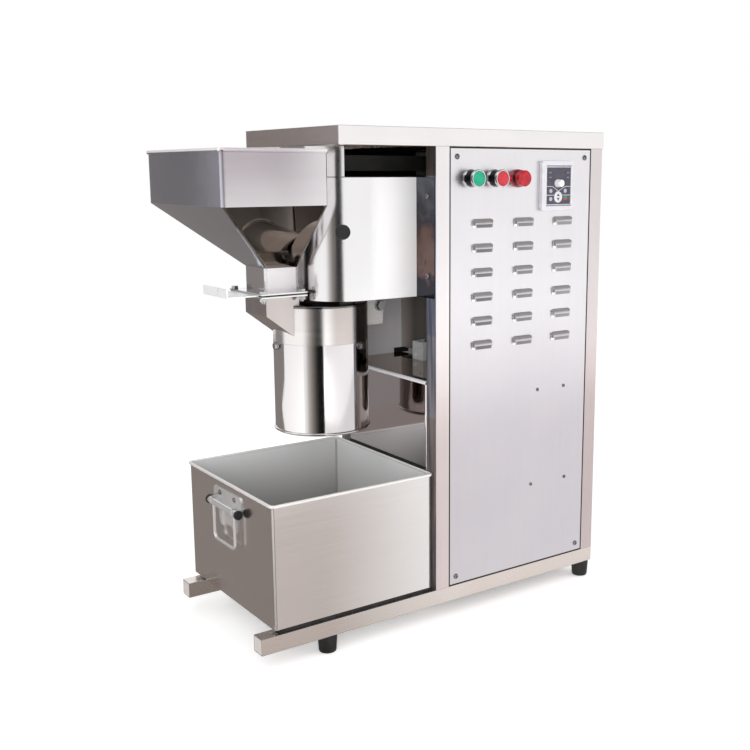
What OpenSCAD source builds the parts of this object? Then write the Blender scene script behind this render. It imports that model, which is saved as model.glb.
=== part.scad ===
// Stainless spice grinder: a hopper and slide gate feed a vertical grinding head, belt driven
// from a motor cabinet, which drops the powder into a pull-out bin. Millimetres, +Z up, front at -Y.

/* [Frame] */
// Outside size of the square frame tube
tube = 25; // [20:1:30]
// Wall of the frame tube
tube_wall = 1.5; // [1:0.1:3]
// Width of the motor cabinet
cab_w = 340; // [300:1:420]
// Depth over the frame tubes
frame_d = 283; // [260:1:340]
// Height from the underside of the rails to the top of the deck
body_h = 742; // [690:1:820]
// How far the base rails run to the left of the cabinet
rail_reach = 306; // [290:1:360]

/* [Feet] */
// Top diameter of a foot
foot_d = 30; // [24:1:40]
// Height of a foot
foot_h = 28; // [15:1:45]
// Distance of the left feet from the cabinet
foot_reach = 191; // [120:1:280]

/* [Deck and sheets] */
// Thickness of the panels
sheet = 1.2; // [0.8:0.1:2]
// Thickness of the deck
deck_t = 1.5; // [1:0.1:3]
// How far the deck runs past the spindle cover
deck_over = 3; // [1.6:0.1:20]
// Height of the deck's folded skirt
deck_skirt = 26; // [15:1:40]

/* [Front panel] */
// Gap between a panel and the frame round it
panel_gap = 2.5; // [0.5:0.1:3]
// Distance of the corner screws from the panel's edges
screw_inset = 12; // [9:0.5:16]
// Width of a louvre
louvre_w = 40.5; // [30:0.5:60]
// Height of a louvre
louvre_h = 13.5; // [8:0.5:18]
// How far a louvre stands out
louvre_out = 6; // [3:0.5:8]
// Radius of a louvre's corners
louvre_round = 6.5; // [4:0.5:7]
// Distance between louvre columns
louvre_pitch_x = 82.8; // [65:0.1:95]
// Distance between louvre rows
louvre_pitch_z = 37.7; // [25:0.1:45]
// Distance of the lowest louvre's lip below the deck's top
louvre_drop = 336; // [310:0.5:390]

/* [Controls] */
// Distance of the start button from the cabinet's left side
button_x = 65; // [58:0.5:75]
// Distance between the controls
button_pitch = 46; // [38:0.5:50]
// Distance of the controls below the deck's top
button_drop = 73.5; // [60:0.5:85]
// Diameter of a button bezel
bezel_d = 28; // [25:0.5:32]
// How far a button stands out of the panel
button_out = 22; // [14:0.5:28]
// Width of a bezel's front ring
bezel_ring = 2.5; // [1.8:0.1:3.5]
// Travel of a button
button_travel = 4; // [2:0.5:5]
// Width of the keypad
keypad_w = 67; // [56:1:76]
// Height of the keypad
keypad_h = 78; // [64:1:86]
// Distance of the keypad's middle from the cabinet's right side
keypad_inset = 103.5; // [90:0.5:115]
// Diameter of the speed knob
knob_d = 13; // [9:0.5:18]

/* [Alcove] */
// Height of the alcove's shelf
shelf_h = 358.5; // [320:0.5:390]
// Depth of the alcove
wall_x = 126.8; // [124:0.1:135]
// Outside radius of the bends in the alcove's sheet
bay_bend = 4.5; // [3:0.1:4.8]

/* [Spindle cover] */
// Clearance between the bearing housing and the cover's left face
cover_gap = 3.8; // [3:0.1:15]
// Distance of the cover's front from the frame's front
cover_inset = 48; // [42:0.5:54]
// Radius of the cover's upright corners
cover_r = 65; // [55:0.5:75]
// Distance of the cover's top below the deck's top
cover_drop = 71.5; // [68:0.5:85]
// Height of the cover
cover_h = 180.5; // [170:0.5:195]

/* [Grinding head] */
// Distance of the spindle from the cabinet
spindle_reach = 119.2; // [105:0.1:140]
// Outside radius of the chamber and the drum
drum_r = 73.4; // [70:0.1:75]
// Wall of the chamber and the drum
drum_wall = 1.5; // [1:0.1:2.5]
// Height of the chamber with its lid
ring_h = 59; // [54:0.5:66]
// Height of the discharge drum
drum_h = 139; // [100:1:160]
// Number of teeth in the grinding ring
liner_teeth = 36; // [24:1:48]
// Thickness of the grinding ring with its teeth
liner_t = 8.7; // [6:0.1:12]
// Gap between the hammers and the teeth
hammer_gap = 3; // [1:0.1:5]
// Number of hammers
hammers = 6; // [3:1:8]

/* [Spindle] */
// Spindle diameter in the bearings
shaft_d = 25; // [24:0.5:26]
// Outside diameter of a bearing
bearing_d = 52; // [47:1:54]
// Width of a bearing
bearing_w = 15; // [12:1:17]
// Wall of the bearing housing round its bearing
housing_wall = 8; // [6:0.5:12]
// Radial running clearance of the shafts
run_fit = 0.05; // [0.02:0.01:0.1]

/* [Feed] */
// Length of the hopper along X
hop_l = 160; // [120:1:180]
// Depth of the hopper along Y
hop_d = 258; // [200:1:275]
// Height of the hopper's upright wall
hop_wall_h = 77; // [50:1:100]
// Height of the hopper's funnel
hop_funnel_h = 92.4; // [70:0.1:100]
// How far the hopper's rim stands out
hop_rim = 2.5; // [1.5:0.1:3]
// Height of the rim
rim_h = 6; // [4:0.5:9]
// Length of the neck along X
neck_l = 54; // [46:0.5:58]
// Depth of the neck along Y
neck_d = 69; // [60:0.5:76]
// Height of the neck
neck_h = 35; // [25:0.5:45]
// Thickness of the gate blade
gate_t = 2; // [1.5:0.1:2.5]
// Clearance above and below the gate blade
gate_fit = 0.3; // [0.2:0.05:0.5]
// Thickness of a gate flange
flange_t = 2; // [1.5:0.1:3]
// How far the gate handle stands out of the guide
gate_pull = 46; // [30:1:60]

/* [Powder bin] */
// Length of the bin along X
bin_l = 276; // [240:1:290]
// Height of the bin
bin_h = 188.4; // [150:0.5:200]
// Distance of the bin's front from the frame's front
bin_front = 7; // [5:0.5:12]
// How far the bin runs past the frame's back
bin_over = 12.5; // [4:0.5:16]
// How far the bin's rim stands out
bin_rim = 3; // [2:0.5:3.5]
// Thickness of the runners under the bin
runner_t = 3.8; // [2:0.1:6]
// Distance between the legs of the bail
bail_w = 72; // [60:1:80]
// Length of the bail from its pins
bail_l = 58; // [45:1:70]
// Diameter of the bail wire
bail_d = 5; // [4:0.1:5.4]

/* [Drive] */
// Radius of the spindle pulley under the belt
spindle_pulley_r = 31; // [28:0.5:33]
// Radius of the motor pulley under the belt
motor_pulley_r = 46; // [40:0.5:50]
// Width of the belt
belt_w = 23; // [18:0.5:24]
// Thickness of the belt
belt_t = 4; // [3:0.1:5]
// Radius of the motor housing
motor_r = 66; // [60:0.5:68]
// Diameter of the motor shaft
motor_shaft_d = 19; // [16:0.5:22]

/* [Hidden] */
$fn = 64;
mid_y = frame_d / 2;
spindle_x = -spindle_reach;
housing_r = bearing_d / 2 + housing_wall;
housing_low_r = bearing_d / 2 + 4;
head_bolt = (housing_r + 8.42641) / sqrt(2);
housing_half = head_bolt + 10;
cover_reach = spindle_reach + housing_half + cover_gap;
deck_reach = cover_reach + deck_over;
louvre_z = body_h - louvre_drop;
fit = 0.02;
weld = 0.1;
back_y = frame_d - tube;
right_x = cab_w - tube;
frame_top = body_h - deck_t;
frame_low = frame_top - tube;
member = tube - 5;
panel_y = 0.2;
panel_in = panel_y + sheet;
ledge_t = 3;
ledge_w = 21;
panel_x0 = tube + panel_gap;
panel_x1 = right_x - panel_gap;
panel_z0 = tube + panel_gap;
panel_z1 = frame_low - panel_gap;
screw_x = [panel_x0 + screw_inset, panel_x1 - screw_inset];
screw_z = [panel_z0 + screw_inset, panel_z1 - screw_inset];
side_y = [tube + panel_gap + screw_inset, back_y - panel_gap - screw_inset];
cover_top = body_h - cover_drop;
cover_low = cover_top - cover_h;
head_z = cover_low + 2;
motor_z = cover_low + 100;
plate_z = head_z + tube;
plate_t = 12;
plate_x = -cover_reach + 4;
plate_w = mid_y - cover_inset - 13.5;
plate_r = cover_r - 5;
flange_y = [tube - 5, frame_d - tube + 5];
flange_z = [cover_low + 33, cover_top - 27.5];
chamber_top = cover_low - 7.5;
lid_t = 4;
lid_z = chamber_top - lid_t;
seam_z = chamber_top - ring_h;
drum_z = seam_z - drum_h;
drum_in = drum_r - drum_wall;
bead_r = 2.2;
spigot_r = drum_in - 0.2;
screen_z = seam_z + 2;
rotor_z = seam_z + 13.5;
liner_z = screen_z + 3.5;
liner_top = lid_z - 1.5;
tooth_r = drum_in - 0.2 - liner_t;
hammer_r = tooth_r - hammer_gap;
housing_top = cover_top - 30;
belt_z = cover_top + 9;
pulley_z = belt_z - 2;
pulley_h = belt_w + 5;
tray_t = 1;
window_x = spindle_x - 5;
gate_low = chamber_top + 16.1;
gate_floor = gate_low + flange_t;
gate_roof = gate_floor + gate_t + 2 * gate_fit;
gate_high = gate_roof + flange_t;
hop_x1 = -deck_reach - 6 - hop_rim;
hop_x0 = hop_x1 - hop_l;
hop_z1 = gate_high + neck_h;
hop_z2 = hop_z1 + hop_funnel_h;
hop_top = hop_z2 + hop_wall_h;
hop_corner = 6;
hop_rim_r = (hop_rim + sheet) / 2 - 0.1;
neck_x0 = hop_x1 - neck_l;
neck_y0 = mid_y - neck_d / 2;
neck_y1 = mid_y + neck_d / 2;
guide_x0 = neck_x0 - 16.5;
guide_x1 = hop_x1 + 4.5;
guide_y = neck_d / 2 + 18.5;
spacer = 12;
spacer_in = 1.5;
gate_w = 2 * (guide_y - spacer) - 0.8;
gate_x1 = hop_x1 + 0.5;
gate_x0 = guide_x0 - gate_pull;
chute_z = chamber_top - 12.5;
bin_x1 = -4;
bin_x0 = bin_x1 - bin_l;
bin_y0 = bin_front;
bin_y1 = frame_d + bin_over;
bin_z = tube + runner_t + 0.25;
bin_top = bin_z + bin_h;
bin_corner = 5;
bin_rim_h = 5;
pin_x = bin_x0 - 8;
pin_z = bin_top - 38;
pin_y = (bin_y0 + bin_y1) / 2;
lug_w = 9;
motor_face = wall_x + sheet + member + 6;
motor_x = motor_face + motor_r + 5;
motor_top = cover_top - 25;
motor_low = motor_top - 190;
louvre_wall = 0.8;
slot_w = louvre_w - 2 * (louvre_wall + louvre_round);
slot_h = louvre_h - louvre_wall - 2;
button_z = body_h - button_drop;
bore_r = bezel_d / 2 - bezel_ring;
cap_r = bore_r - 0.3;
cap_t = 6;
cap_seat = button_out - cap_t - button_travel - 1;
stem_r = 8;
lens_z = button_out - 12;
barrel_r = 11;
keypad_x = cab_w - keypad_inset;
keypad_z = body_h - 85.5;
knob_x = keypad_x;
knob_z = keypad_z + 4;
inverter_z = 246;
gland_x = right_x - 50;
gland_z = 82;
gland_out = 18;
plug_a = 27;
plug_z = cover_top - 78.5;
plug_r = 11;
lug_bolt = [-11, chamber_top - 14.5];
clamp_a = [-64, 56, 176];
clamp_z = seam_z - 5.5;
x_lo = hop_x0 - hop_rim;
screw_head = 2.4;
x_hi = cab_w + max(deck_t, screw_head - panel_y);
y_lo = panel_y - button_out;
y_hi = frame_d - panel_y + gland_out;

// Shared shapes
module place() translate([-(x_lo + x_hi) / 2, -(y_lo + y_hi) / 2, foot_h]) children();

module box(x0, x1, y0, y1, z0, z1) translate([x0, y0, z0]) cube([x1 - x0, y1 - y0, z1 - z0]);

module tube_x(x0, x1, y, z, d = tube, h = tube) difference() {
  box(x0, x1, y, y + d, z, z + h);
  box(x0 - 1, x1 + 1, y + tube_wall, y + d - tube_wall, z + tube_wall, z + h - tube_wall);
}

module tube_y(y0, y1, x, z, w = tube, h = tube) difference() {
  box(x, x + w, y0, y1, z, z + h);
  box(x + tube_wall, x + w - tube_wall, y0 - 1, y1 + 1, z + tube_wall, z + h - tube_wall);
}

module tube_z(z0, z1, x, y) difference() {
  box(x, x + tube, y, y + tube, z0, z1);
  box(x + tube_wall, x + tube - tube_wall, y + tube_wall, y + tube - tube_wall, z0 - 1, z1 + 1);
}

module on_spindle() translate([spindle_x, mid_y, 0]) children();

module on_motor() translate([motor_x, mid_y, 0]) children();

module ring(r_in, r_out, z0, z1) translate([0, 0, z0]) difference() {
  cylinder(r = r_out, h = z1 - z0);
  translate([0, 0, -1]) cylinder(r = r_in, h = z1 - z0 + 2);
}

module rod(r, z0, z1) translate([0, 0, z0]) cylinder(r = r, h = z1 - z0);

module to_front(x, z, y = panel_y) translate([x, y, z]) rotate([90, 0, 0]) children();

module hex(af, z0, z1) translate([0, 0, z0]) linear_extrude(height = z1 - z0)
  polygon([for (i = [0:5]) af / sqrt(3) * [cos(60 * i), sin(60 * i)]]);

module round_rect(x0, x1, y0, y1, r) {
  translate([x0 + r, y0]) square([x1 - x0 - 2 * r, y1 - y0]);
  translate([x0, y0 + r]) square([x1 - x0, y1 - y0 - 2 * r]);
  for (x = [x0 + r, x1 - r], y = [y0 + r, y1 - r]) translate([x, y]) circle(r = r);
}

// A screw with a low head, its head on z = 0
module screw(head_r, head_h, r, length) rotate_extrude() polygon([[0, head_h], [head_r * 0.6, head_h],
  [head_r, head_h * 0.4], [head_r, 0], [r, 0], [r, -length], [0, -length]]);

// The section of a rolled rim, its top at y = 0
module rim_section(r, h) {
  for (y = [-r, r - h]) translate([0, y]) circle(r = r);
  translate([-r, r - h]) square([2 * r, h - 2 * r]);
}

// A rolled rim round an opening with corners of radius q, its middle so far outside the wall
module rolled_rim(x0, x1, y0, y1, q, out, r, h) {
  for (y = [y0 - out, y1 + out]) translate([x0 + q, y, 0]) rotate([90, 0, 90])
    linear_extrude(height = x1 - x0 - 2 * q) rim_section(r, h);
  for (x = [x0 - out, x1 + out]) translate([x, y1 - q, 0]) rotate([90, 0, 0])
    linear_extrude(height = y1 - y0 - 2 * q) rim_section(r, h);
  for (c = [[x1 - q, y1 - q, 0], [x0 + q, y1 - q, 90], [x0 + q, y0 + q, 180], [x1 - q, y0 + q, 270]])
    translate([c[0], c[1], 0]) rotate([0, 0, c[2]]) rotate_extrude(angle = 90) translate([q + out, 0])
      rim_section(r, h);
}

// Base
module base_frame() place() color("silver") {
  for (y = [0, back_y]) tube_x(-rail_reach, cab_w, y, 0);
  for (x = [-foot_reach - tube / 2, 0, right_x]) tube_y(tube + weld, back_y - weld, x, 0);
}

module rail_end_caps() place() color("silver")
  for (x = [-rail_reach, cab_w - 2], y = [0, back_y])
    box(x, x + 2, y + tube_wall, y + tube - tube_wall, tube_wall, tube - tube_wall);

module feet() place() color("black")
  for (x = [-foot_reach, cab_w - 13.5], y = [14, frame_d - 14]) translate([x, y, 0])
    rotate_extrude() polygon([[0, 0], [foot_d / 2, 0], [foot_d / 2 - 1.6, -foot_h + 3],
      [foot_d / 2 - 2.5, -foot_h + 0.9], [foot_d / 2 - 4.6, -foot_h], [0, -foot_h]]);

// Cabinet frame
module cabinet_posts() place() color("lightsteelblue") difference() {
  for (x = [0, right_x], y = [0, back_y]) tube_z(tube, frame_low, x, y);
  for (y = flange_y, z = flange_z)
    translate([-1, y, z]) rotate([0, 90, 0]) cylinder(r = 2.5, h = tube_wall + 2);
}

module top_frame() place() color("silver") {
  for (y = [0, back_y]) tube_x(-deck_reach + deck_t, cab_w, y, frame_low);
  for (x = [-deck_reach + deck_t, 0, right_x]) tube_y(tube + weld, back_y - weld, x, frame_low);
}

module cross_members() place() color("silver") {
  for (y = [5, back_y], z = [head_z, motor_z]) tube_x(tube, right_x, y, z, member);
  tube_y(tube + weld, back_y - weld, 0, head_z);
  tube_y(tube + weld, back_y - weld, wall_x - 6 - member, head_z, member);
  for (z = [head_z, motor_z]) tube_y(tube + weld, back_y - weld, wall_x + sheet, z, member);
  tube_y(tube + weld, back_y - weld, bay_bend + 0.5, shelf_h - sheet - tube, member);
  for (x = [tube, right_x - ledge_w], i = [0, 1]) difference() {
    y = i == 0 ? panel_in : frame_d - panel_in - ledge_t;
    box(x, x + ledge_w, y, y + ledge_t, tube + 1, frame_low - 0.5);
    for (sx = screw_x, sz = screw_z) to_front(sx, sz, y + ledge_t + 1) cylinder(r = 2.5, h = ledge_t + 2);
  }
  for (y = [tube, back_y - ledge_w]) difference() {
    x = cab_w - panel_in - ledge_t;
    box(x, x + ledge_t, y, y + ledge_w, tube + 1, frame_low - 0.5);
    for (sy = side_y, sz = screw_z)
      translate([x - 1, sy, sz]) rotate([0, 90, 0]) cylinder(r = 2.5, h = ledge_t + 2);
  }
}

module deck() place() color("whitesmoke") difference() {
  box(-deck_reach, cab_w + deck_t, -deck_t, frame_d + deck_t, body_h - deck_skirt, body_h);
  box(-deck_reach + deck_t, cab_w, 0, frame_d, body_h - deck_skirt - 1, frame_top);
}

// Front panel: the louvres are round-ended hoods pressed outwards, open below
function bow(x, y, a, b, n) = [for (i = [0:n]) [x + a * cos(90 / n * i), y + b * sin(90 / n * i)]];

function both_ends(half) = concat(half, [for (i = [len(half) - 1:-1:0]) [-half[i][0], half[i][1]]]);

module louvre_section(t, drop)
  polygon(concat([[0, -drop]], drop > 0 ? [[louvre_out - t, -drop]] : [], bow(0, 0, louvre_out - t, louvre_h - t, 4)));

module louvre_outline(t) {
  a = louvre_w / 2 - t;
  r = louvre_round - t;
  polygon(both_ends(concat([[a, -2]], bow(a - r, louvre_h - t + 0.6 - r, r, r, 3))));
}

module louvre_plan(t) {
  a = louvre_w / 2 - t + 0.3;
  r = louvre_round - t;
  polygon(both_ends(concat([[a, -1]], bow(a - r, 0, r, louvre_out - t, 3))));
}

module louvre_body(t, drop) intersection() {
  rotate([0, -90, 0]) linear_extrude(height = louvre_w, center = true) louvre_section(t, drop);
  linear_extrude(height = louvre_out + 1) louvre_outline(t);
  translate([0, louvre_h + 1, 0]) rotate([90, 0, 0]) linear_extrude(height = louvre_h + 3) louvre_plan(t);
}

module louvre_spots() for (i = [-1:1], j = [0:5])
  to_front((panel_x0 + panel_x1) / 2 + 1 + i * louvre_pitch_x, louvre_z + j * louvre_pitch_z) children();

module front_panel() place() color("whitesmoke") {
  difference() {
    box(panel_x0, panel_x1, panel_y, panel_in, panel_z0, panel_z1);
    for (x = screw_x, z = screw_z) to_front(x, z, panel_in + 1) cylinder(r = 2.6, h = sheet + 2);
    for (i = [0:2]) to_front(button_x + i * button_pitch, button_z, panel_in + 1)
      cylinder(r = barrel_r + 0.2, h = sheet + 2);
    box(keypad_x - keypad_w / 2 + 5, keypad_x + keypad_w / 2 - 5, panel_y - 1, panel_in + 1,
      keypad_z - keypad_h / 2 + 5, keypad_z + keypad_h / 2 - 5);
    for (q = inverter_screws()) to_front(q[0], q[1], panel_in + 1) cylinder(r = 2.1, h = sheet + 2);
    louvre_spots() translate([-slot_w / 2, 0, -sheet - 1])
      cube([slot_w, slot_h, sheet + 2]);
  }
  louvre_spots() translate([0, 0, -0.2]) difference() {
    louvre_body(0, 0);
    louvre_body(louvre_wall, 1);
  }
}

function inverter_screws() = [for (s = [-1, 1]) each [[keypad_x - 0.5 + s * 29, inverter_z + 79.5],
  [keypad_x - 3 + s * 37.7, inverter_z - 80.5]]];

module panel_screws() place() color("dimgray") {
  for (x = screw_x, z = screw_z) {
    to_front(x, z) screw(4.4, screw_head, 2.4, 8);
    translate([x, frame_d - panel_y, z]) rotate([-90, 0, 0]) screw(4.4, screw_head, 2.4, 8);
  }
  for (y = side_y, z = screw_z) translate([cab_w - panel_y, y, z]) rotate([0, 90, 0]) screw(4.4, screw_head, 2.4, 8);
  for (y = flange_y, z = flange_z)
    translate([-sheet, y, z]) rotate([0, -90, 0]) screw(4.4, screw_head, 2.4, 6);
  for (q = inverter_screws()) to_front(q[0], q[1]) screw(3, 1.8, 1.9, 6);
}

// Other skins
module back_panel() place() color("gainsboro") difference() {
  box(panel_x0, panel_x1, frame_d - panel_in, frame_d - panel_y, panel_z0, panel_z1);
  for (x = screw_x, z = screw_z) to_front(x, z, frame_d + 1) cylinder(r = 2.6, h = sheet + 3);
  to_front(gland_x, gland_z, frame_d + 1) cylinder(r = 10, h = sheet + 3);
}

module right_panel() place() color("gainsboro") difference() {
  box(cab_w - panel_in, cab_w - panel_y, tube + panel_gap, back_y - panel_gap, panel_z0, panel_z1);
  for (y = side_y, z = screw_z)
    translate([cab_w - panel_in - 1, y, z]) rotate([0, 90, 0]) cylinder(r = 2.6, h = sheet + 2);
}

module cable_gland() place() color("black") translate([gland_x, frame_d - panel_y, gland_z])
  rotate([-90, 0, 0]) difference() {
    union() {
      hex(23, 0, 7);
      rod(10, 0, gland_out - 2);
      rod(8.5, 0, gland_out);
      rod(9.8, -10, 0);
      hex(23, -sheet - 5, -sheet);
    }
    rod(5, -11, gland_out + 1);
  }

// One sheet, bent round its upright edges and over the top into a shelf, with notches at the corners
module bay_panel() place() color("lightgray") {
  y0 = tube + 0.3;
  y1 = back_y - 0.3;
  translate([0, 0, tube]) linear_extrude(height = shelf_h - bay_bend - tube) intersection() {
    translate([0, y0]) square([bay_bend, y1 - y0]);
    difference() {
      round_rect(0, 4 * bay_bend, y0, y1, bay_bend);
      round_rect(sheet, 5 * bay_bend, y0 + sheet, y1 - sheet, bay_bend - sheet);
    }
  }
  translate([bay_bend, y1 - bay_bend, shelf_h - bay_bend]) rotate([90, 0, 0])
    linear_extrude(height = y1 - y0 - 2 * bay_bend) intersection() {
      translate([-bay_bend, 0]) square(bay_bend);
      difference() {
        circle(r = bay_bend);
        circle(r = bay_bend - sheet);
      }
    }
  difference() {
    box(bay_bend, wall_x - 0.4, 5.2, frame_d - panel_in - 0.4, shelf_h - sheet, shelf_h);
    for (y = [-1, back_y - 0.3]) box(-1, tube + 0.3, y, y + tube + 1.3, shelf_h - sheet - 1, shelf_h + 1);
    box(tube - 1, tube + ledge_w + 0.4, frame_d - panel_in - ledge_t - 0.4, frame_d, shelf_h - 3, shelf_h + 1);
  }
}

module bay_wall() place() color("lightgray") difference() {
  box(wall_x, wall_x + sheet, 5.2, frame_d - panel_in - 0.4, shelf_h + 9.5, motor_z + tube + 30);
  for (y = [0, back_y - 0.4]) box(wall_x - 1, wall_x + sheet + 1, y, y + tube + 0.4, head_z - 0.5, motor_z + 99);
}

module bay_bracket() place() color("lightgray") {
  y = mid_y + 36.5;
  x = wall_x - 25;
  box(x, x + 2, y, y + 32, shelf_h, shelf_h + 32);
  for (d = [0, 30]) box(x, wall_x, y + d, y + d + 2, shelf_h, shelf_h + 32);
}

// Spindle cover and belt space
module cover_outline(t, end) {
  y0 = cover_inset + t;
  y1 = frame_d - cover_inset - t;
  r = cover_r - t;
  x = -cover_reach + t;
  translate([x + r, y0]) square([end - x - r, y1 - y0]);
  translate([x, y0 + r]) square([end - x, y1 - y0 - 2 * r]);
  for (y = [y0 + r, y1 - r]) translate([x + r, y]) circle(r = r);
}

module at_plug() translate([-cover_reach + cover_r, cover_inset + cover_r, plug_z])
  rotate([0, 0, -90 - plug_a]) rotate([0, 90, 0]) children();

module spindle_cover() place() color("whitesmoke") difference() {
  translate([0, 0, cover_low]) linear_extrude(height = cover_h) {
    difference() {
      cover_outline(0, 0);
      cover_outline(sheet, 1);
    }
    for (y = [3, frame_d - cover_inset - sheet])
      translate([-sheet, y]) square([sheet, cover_inset + sheet - 3]);
  }
  at_plug() rod(plug_r, cover_r - 8, cover_r + 5);
  for (y = flange_y, z = flange_z)
    translate([-sheet - 1, y, z]) rotate([0, 90, 0]) cylinder(r = 2.6, h = sheet + 2);
}

module cover_plug() place() color("black") at_plug() {
  rod(plug_r - 0.1, cover_r - 4, cover_r + 0.4);
  rod(plug_r + 1.5, cover_r - 7, cover_r - 4);
}

module belt_housing() place() color("whitesmoke") difference() {
  translate([0, 0, cover_top + tray_t]) linear_extrude(height = frame_low - cover_top - tray_t) difference() {
    cover_outline(0, 0);
    cover_outline(sheet, 1);
  }
  box(window_x, 1, 0, mid_y, cover_top, body_h);
}

module belt_tray() place() color([0.1, 0.1, 0.1]) {
  difference() {
    translate([0, 0, cover_top]) linear_extrude(height = tray_t) {
      cover_outline(0, 0);
      translate([-1, mid_y - 68]) square([wall_x, frame_d - cover_inset - mid_y + 68]);
    }
    on_spindle() rod(24, cover_top - 1, cover_top + 3);
  }
  difference() {
    translate([0, 0, cover_top + tray_t]) linear_extrude(height = frame_low - cover_top - tray_t - 0.5)
      difference() {
        cover_outline(sheet + 0.3, wall_x - 1);
        cover_outline(sheet + 1.1, wall_x + 1);
      }
    box(window_x, wall_x + 2, 0, mid_y, cover_top, body_h);
  }
}

// Head plate and bearings
module head_bolt_spots() on_spindle() for (x = [-head_bolt, head_bolt], y = [-head_bolt, head_bolt])
  translate([x, y, 0]) children();

module head_plate() place() color("slategray") {
  difference() {
    translate([0, 0, plate_z]) linear_extrude(height = plate_t) {
      translate([plate_x + plate_r, mid_y - plate_w]) square([wall_x - 6 - plate_x - plate_r, 2 * plate_w]);
      translate([plate_x, mid_y - plate_w + plate_r]) square([plate_r + 10, 2 * (plate_w - plate_r)]);
      for (s = [-1, 1]) translate([plate_x + plate_r, mid_y + s * (plate_w - plate_r)]) circle(r = plate_r);
    }
    on_spindle() rod(housing_low_r + 0.1, plate_z - 1, plate_z + plate_t + 1);
    head_bolt_spots() rod(4.2, plate_z - 1, plate_z + 20);
  }
  difference() {
    box(-30, -6, mid_y + 1.5, mid_y + 9.5, chamber_top - 42, plate_z);
    to_front(lug_bolt[0], lug_bolt[1], mid_y + 20) cylinder(r = 5.2, h = 40);
  }
}

module bearing_housing() place() color("slategray") difference() {
  on_spindle() union() {
    rod(housing_low_r, chamber_top, plate_z + plate_t + 1);
    rod(housing_r, plate_z + plate_t, housing_top);
    translate([-housing_half, -housing_half, plate_z + plate_t]) cube([2 * housing_half, 2 * housing_half, 10]);
  }
  on_spindle() rod(bearing_d / 2 - 6, chamber_top - 1, housing_top + 1);
  on_spindle() rod(bearing_d / 2 + fit, chamber_top - 1, plate_z - 2);
  on_spindle() rod(bearing_d / 2 + fit, housing_top - 20, housing_top + 1);
  head_bolt_spots() rod(4.2, plate_z, plate_z + plate_t + 20);
}

module spindle_bearings() place() color("silver") on_spindle()
  for (z = [plate_z - 2 - bearing_w, housing_top - 20])
    ring(shaft_d / 2 + run_fit, bearing_d / 2, z, z + bearing_w);

// Grinding chamber
module chamber_lid() place() color("dimgray") on_spindle() difference() {
  union() {
    rod(drum_r - 2, lid_z, chamber_top);
    rod(drum_r, lid_z, chamber_top - 2);
    translate([0, 0, chamber_top - 2]) rotate_extrude() translate([drum_r - 2, 0]) circle(r = 2);
  }
  rod(shaft_d / 2 + 1.5, lid_z - 1, chamber_top + 1);
}

module grinding_chamber() place() color("lightgray") difference() {
  union() {
    on_spindle() rod(drum_r, seam_z, lid_z);
    on_spindle() rod(spigot_r, seam_z - 14, screen_z);
    difference() {
      box(spindle_x + drum_r - 6, -5, mid_y - 2.5, mid_y + 1.5, lid_z - 41, chamber_top + 5);
      on_spindle() rod(drum_r + 0.2, lid_z, chamber_top + 9);
      to_front(lug_bolt[0], lug_bolt[1], mid_y + 20) cylinder(r = 5.2, h = 40);
    }
  }
  on_spindle() rod(drum_in, screen_z, lid_z + 1);
  on_spindle() rod(spigot_r - drum_wall, seam_z - 15, screen_z + 1);
  box(spindle_x - drum_r - 5, spindle_x - 40, neck_y0 + 1.5, neck_y1 - 1.5, seam_z + 21, lid_z - 1);
  on_spindle() for (a = clamp_a) rotate([0, 0, a]) translate([0, 0, clamp_z])
    rotate([0, 90, 0]) rod(3.2, drum_in - 10, drum_r + 5);
}

module grinding_ring() place() color("gray") difference() {
  on_spindle() translate([0, 0, liner_z]) linear_extrude(height = liner_top - liner_z) difference() {
    circle(r = drum_in - 0.2);
    polygon([for (i = [0:liner_teeth - 1], k = [0:1])
      (k == 0 ? tooth_r : tooth_r + 2.6) * [cos(360 / liner_teeth * (i + k / 2)),
        sin(360 / liner_teeth * (i + k / 2))]]);
  }
  box(spindle_x - drum_r, spindle_x - 40, neck_y0 + 1.5, neck_y1 - 1.5, liner_z - 1, liner_top + 1);
}

module screen() place() color("silver") on_spindle() translate([0, 0, screen_z]) linear_extrude(height = 1.5)
  difference() {
    circle(r = drum_in - 0.2);
    for (k = [1:4]) for (i = [0:k * 6 + 1]) rotate(360 / (k * 6 + 2) * i) translate([14 * k, 0]) circle(r = 3);
  }

module discharge_drum() place() color("lightgray") on_spindle() difference() {
  union() {
    rod(drum_r, drum_z + 1, seam_z - 0.2);
    translate([0, 0, drum_z + bead_r]) rotate_extrude() translate([drum_r, 0]) circle(r = bead_r);
  }
  rod(drum_in, drum_z - 1, seam_z + 1);
  for (a = clamp_a) rotate([0, 0, a]) translate([0, 0, clamp_z])
    rotate([0, 90, 0]) rod(3.2, drum_in - 10, drum_r + 5);
}

module head_bolts() place() color("dimgray") {
  on_spindle() for (a = clamp_a) rotate([0, 0, a]) translate([0, 0, clamp_z]) rotate([0, 90, 0]) {
    rod(3, spigot_r - drum_wall - 6, drum_r + 1);
    rod(6.5, drum_r, drum_r + 1.4);
    hex(10, drum_r + 1.4, drum_r + 5.6);
  }
  head_bolt_spots() {
    rod(4, plate_z - 8, plate_z + plate_t + 11);
    hex(13, plate_z + plate_t + 10, plate_z + plate_t + 15);
    hex(13, plate_z - 6, plate_z);
  }
  to_front(lug_bolt[0], lug_bolt[1], mid_y) {
    rod(5, -18, 4);
    rod(9.5, 2.5, 4);
    hex(14, 4, 10);
    hex(16, -17, -9.5);
  }
}

// Feed
function corner(x, y, r, a) = [for (i = [0:6]) [x + r * cos(a + 15 * i), y + r * sin(a + 15 * i)]];

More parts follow.
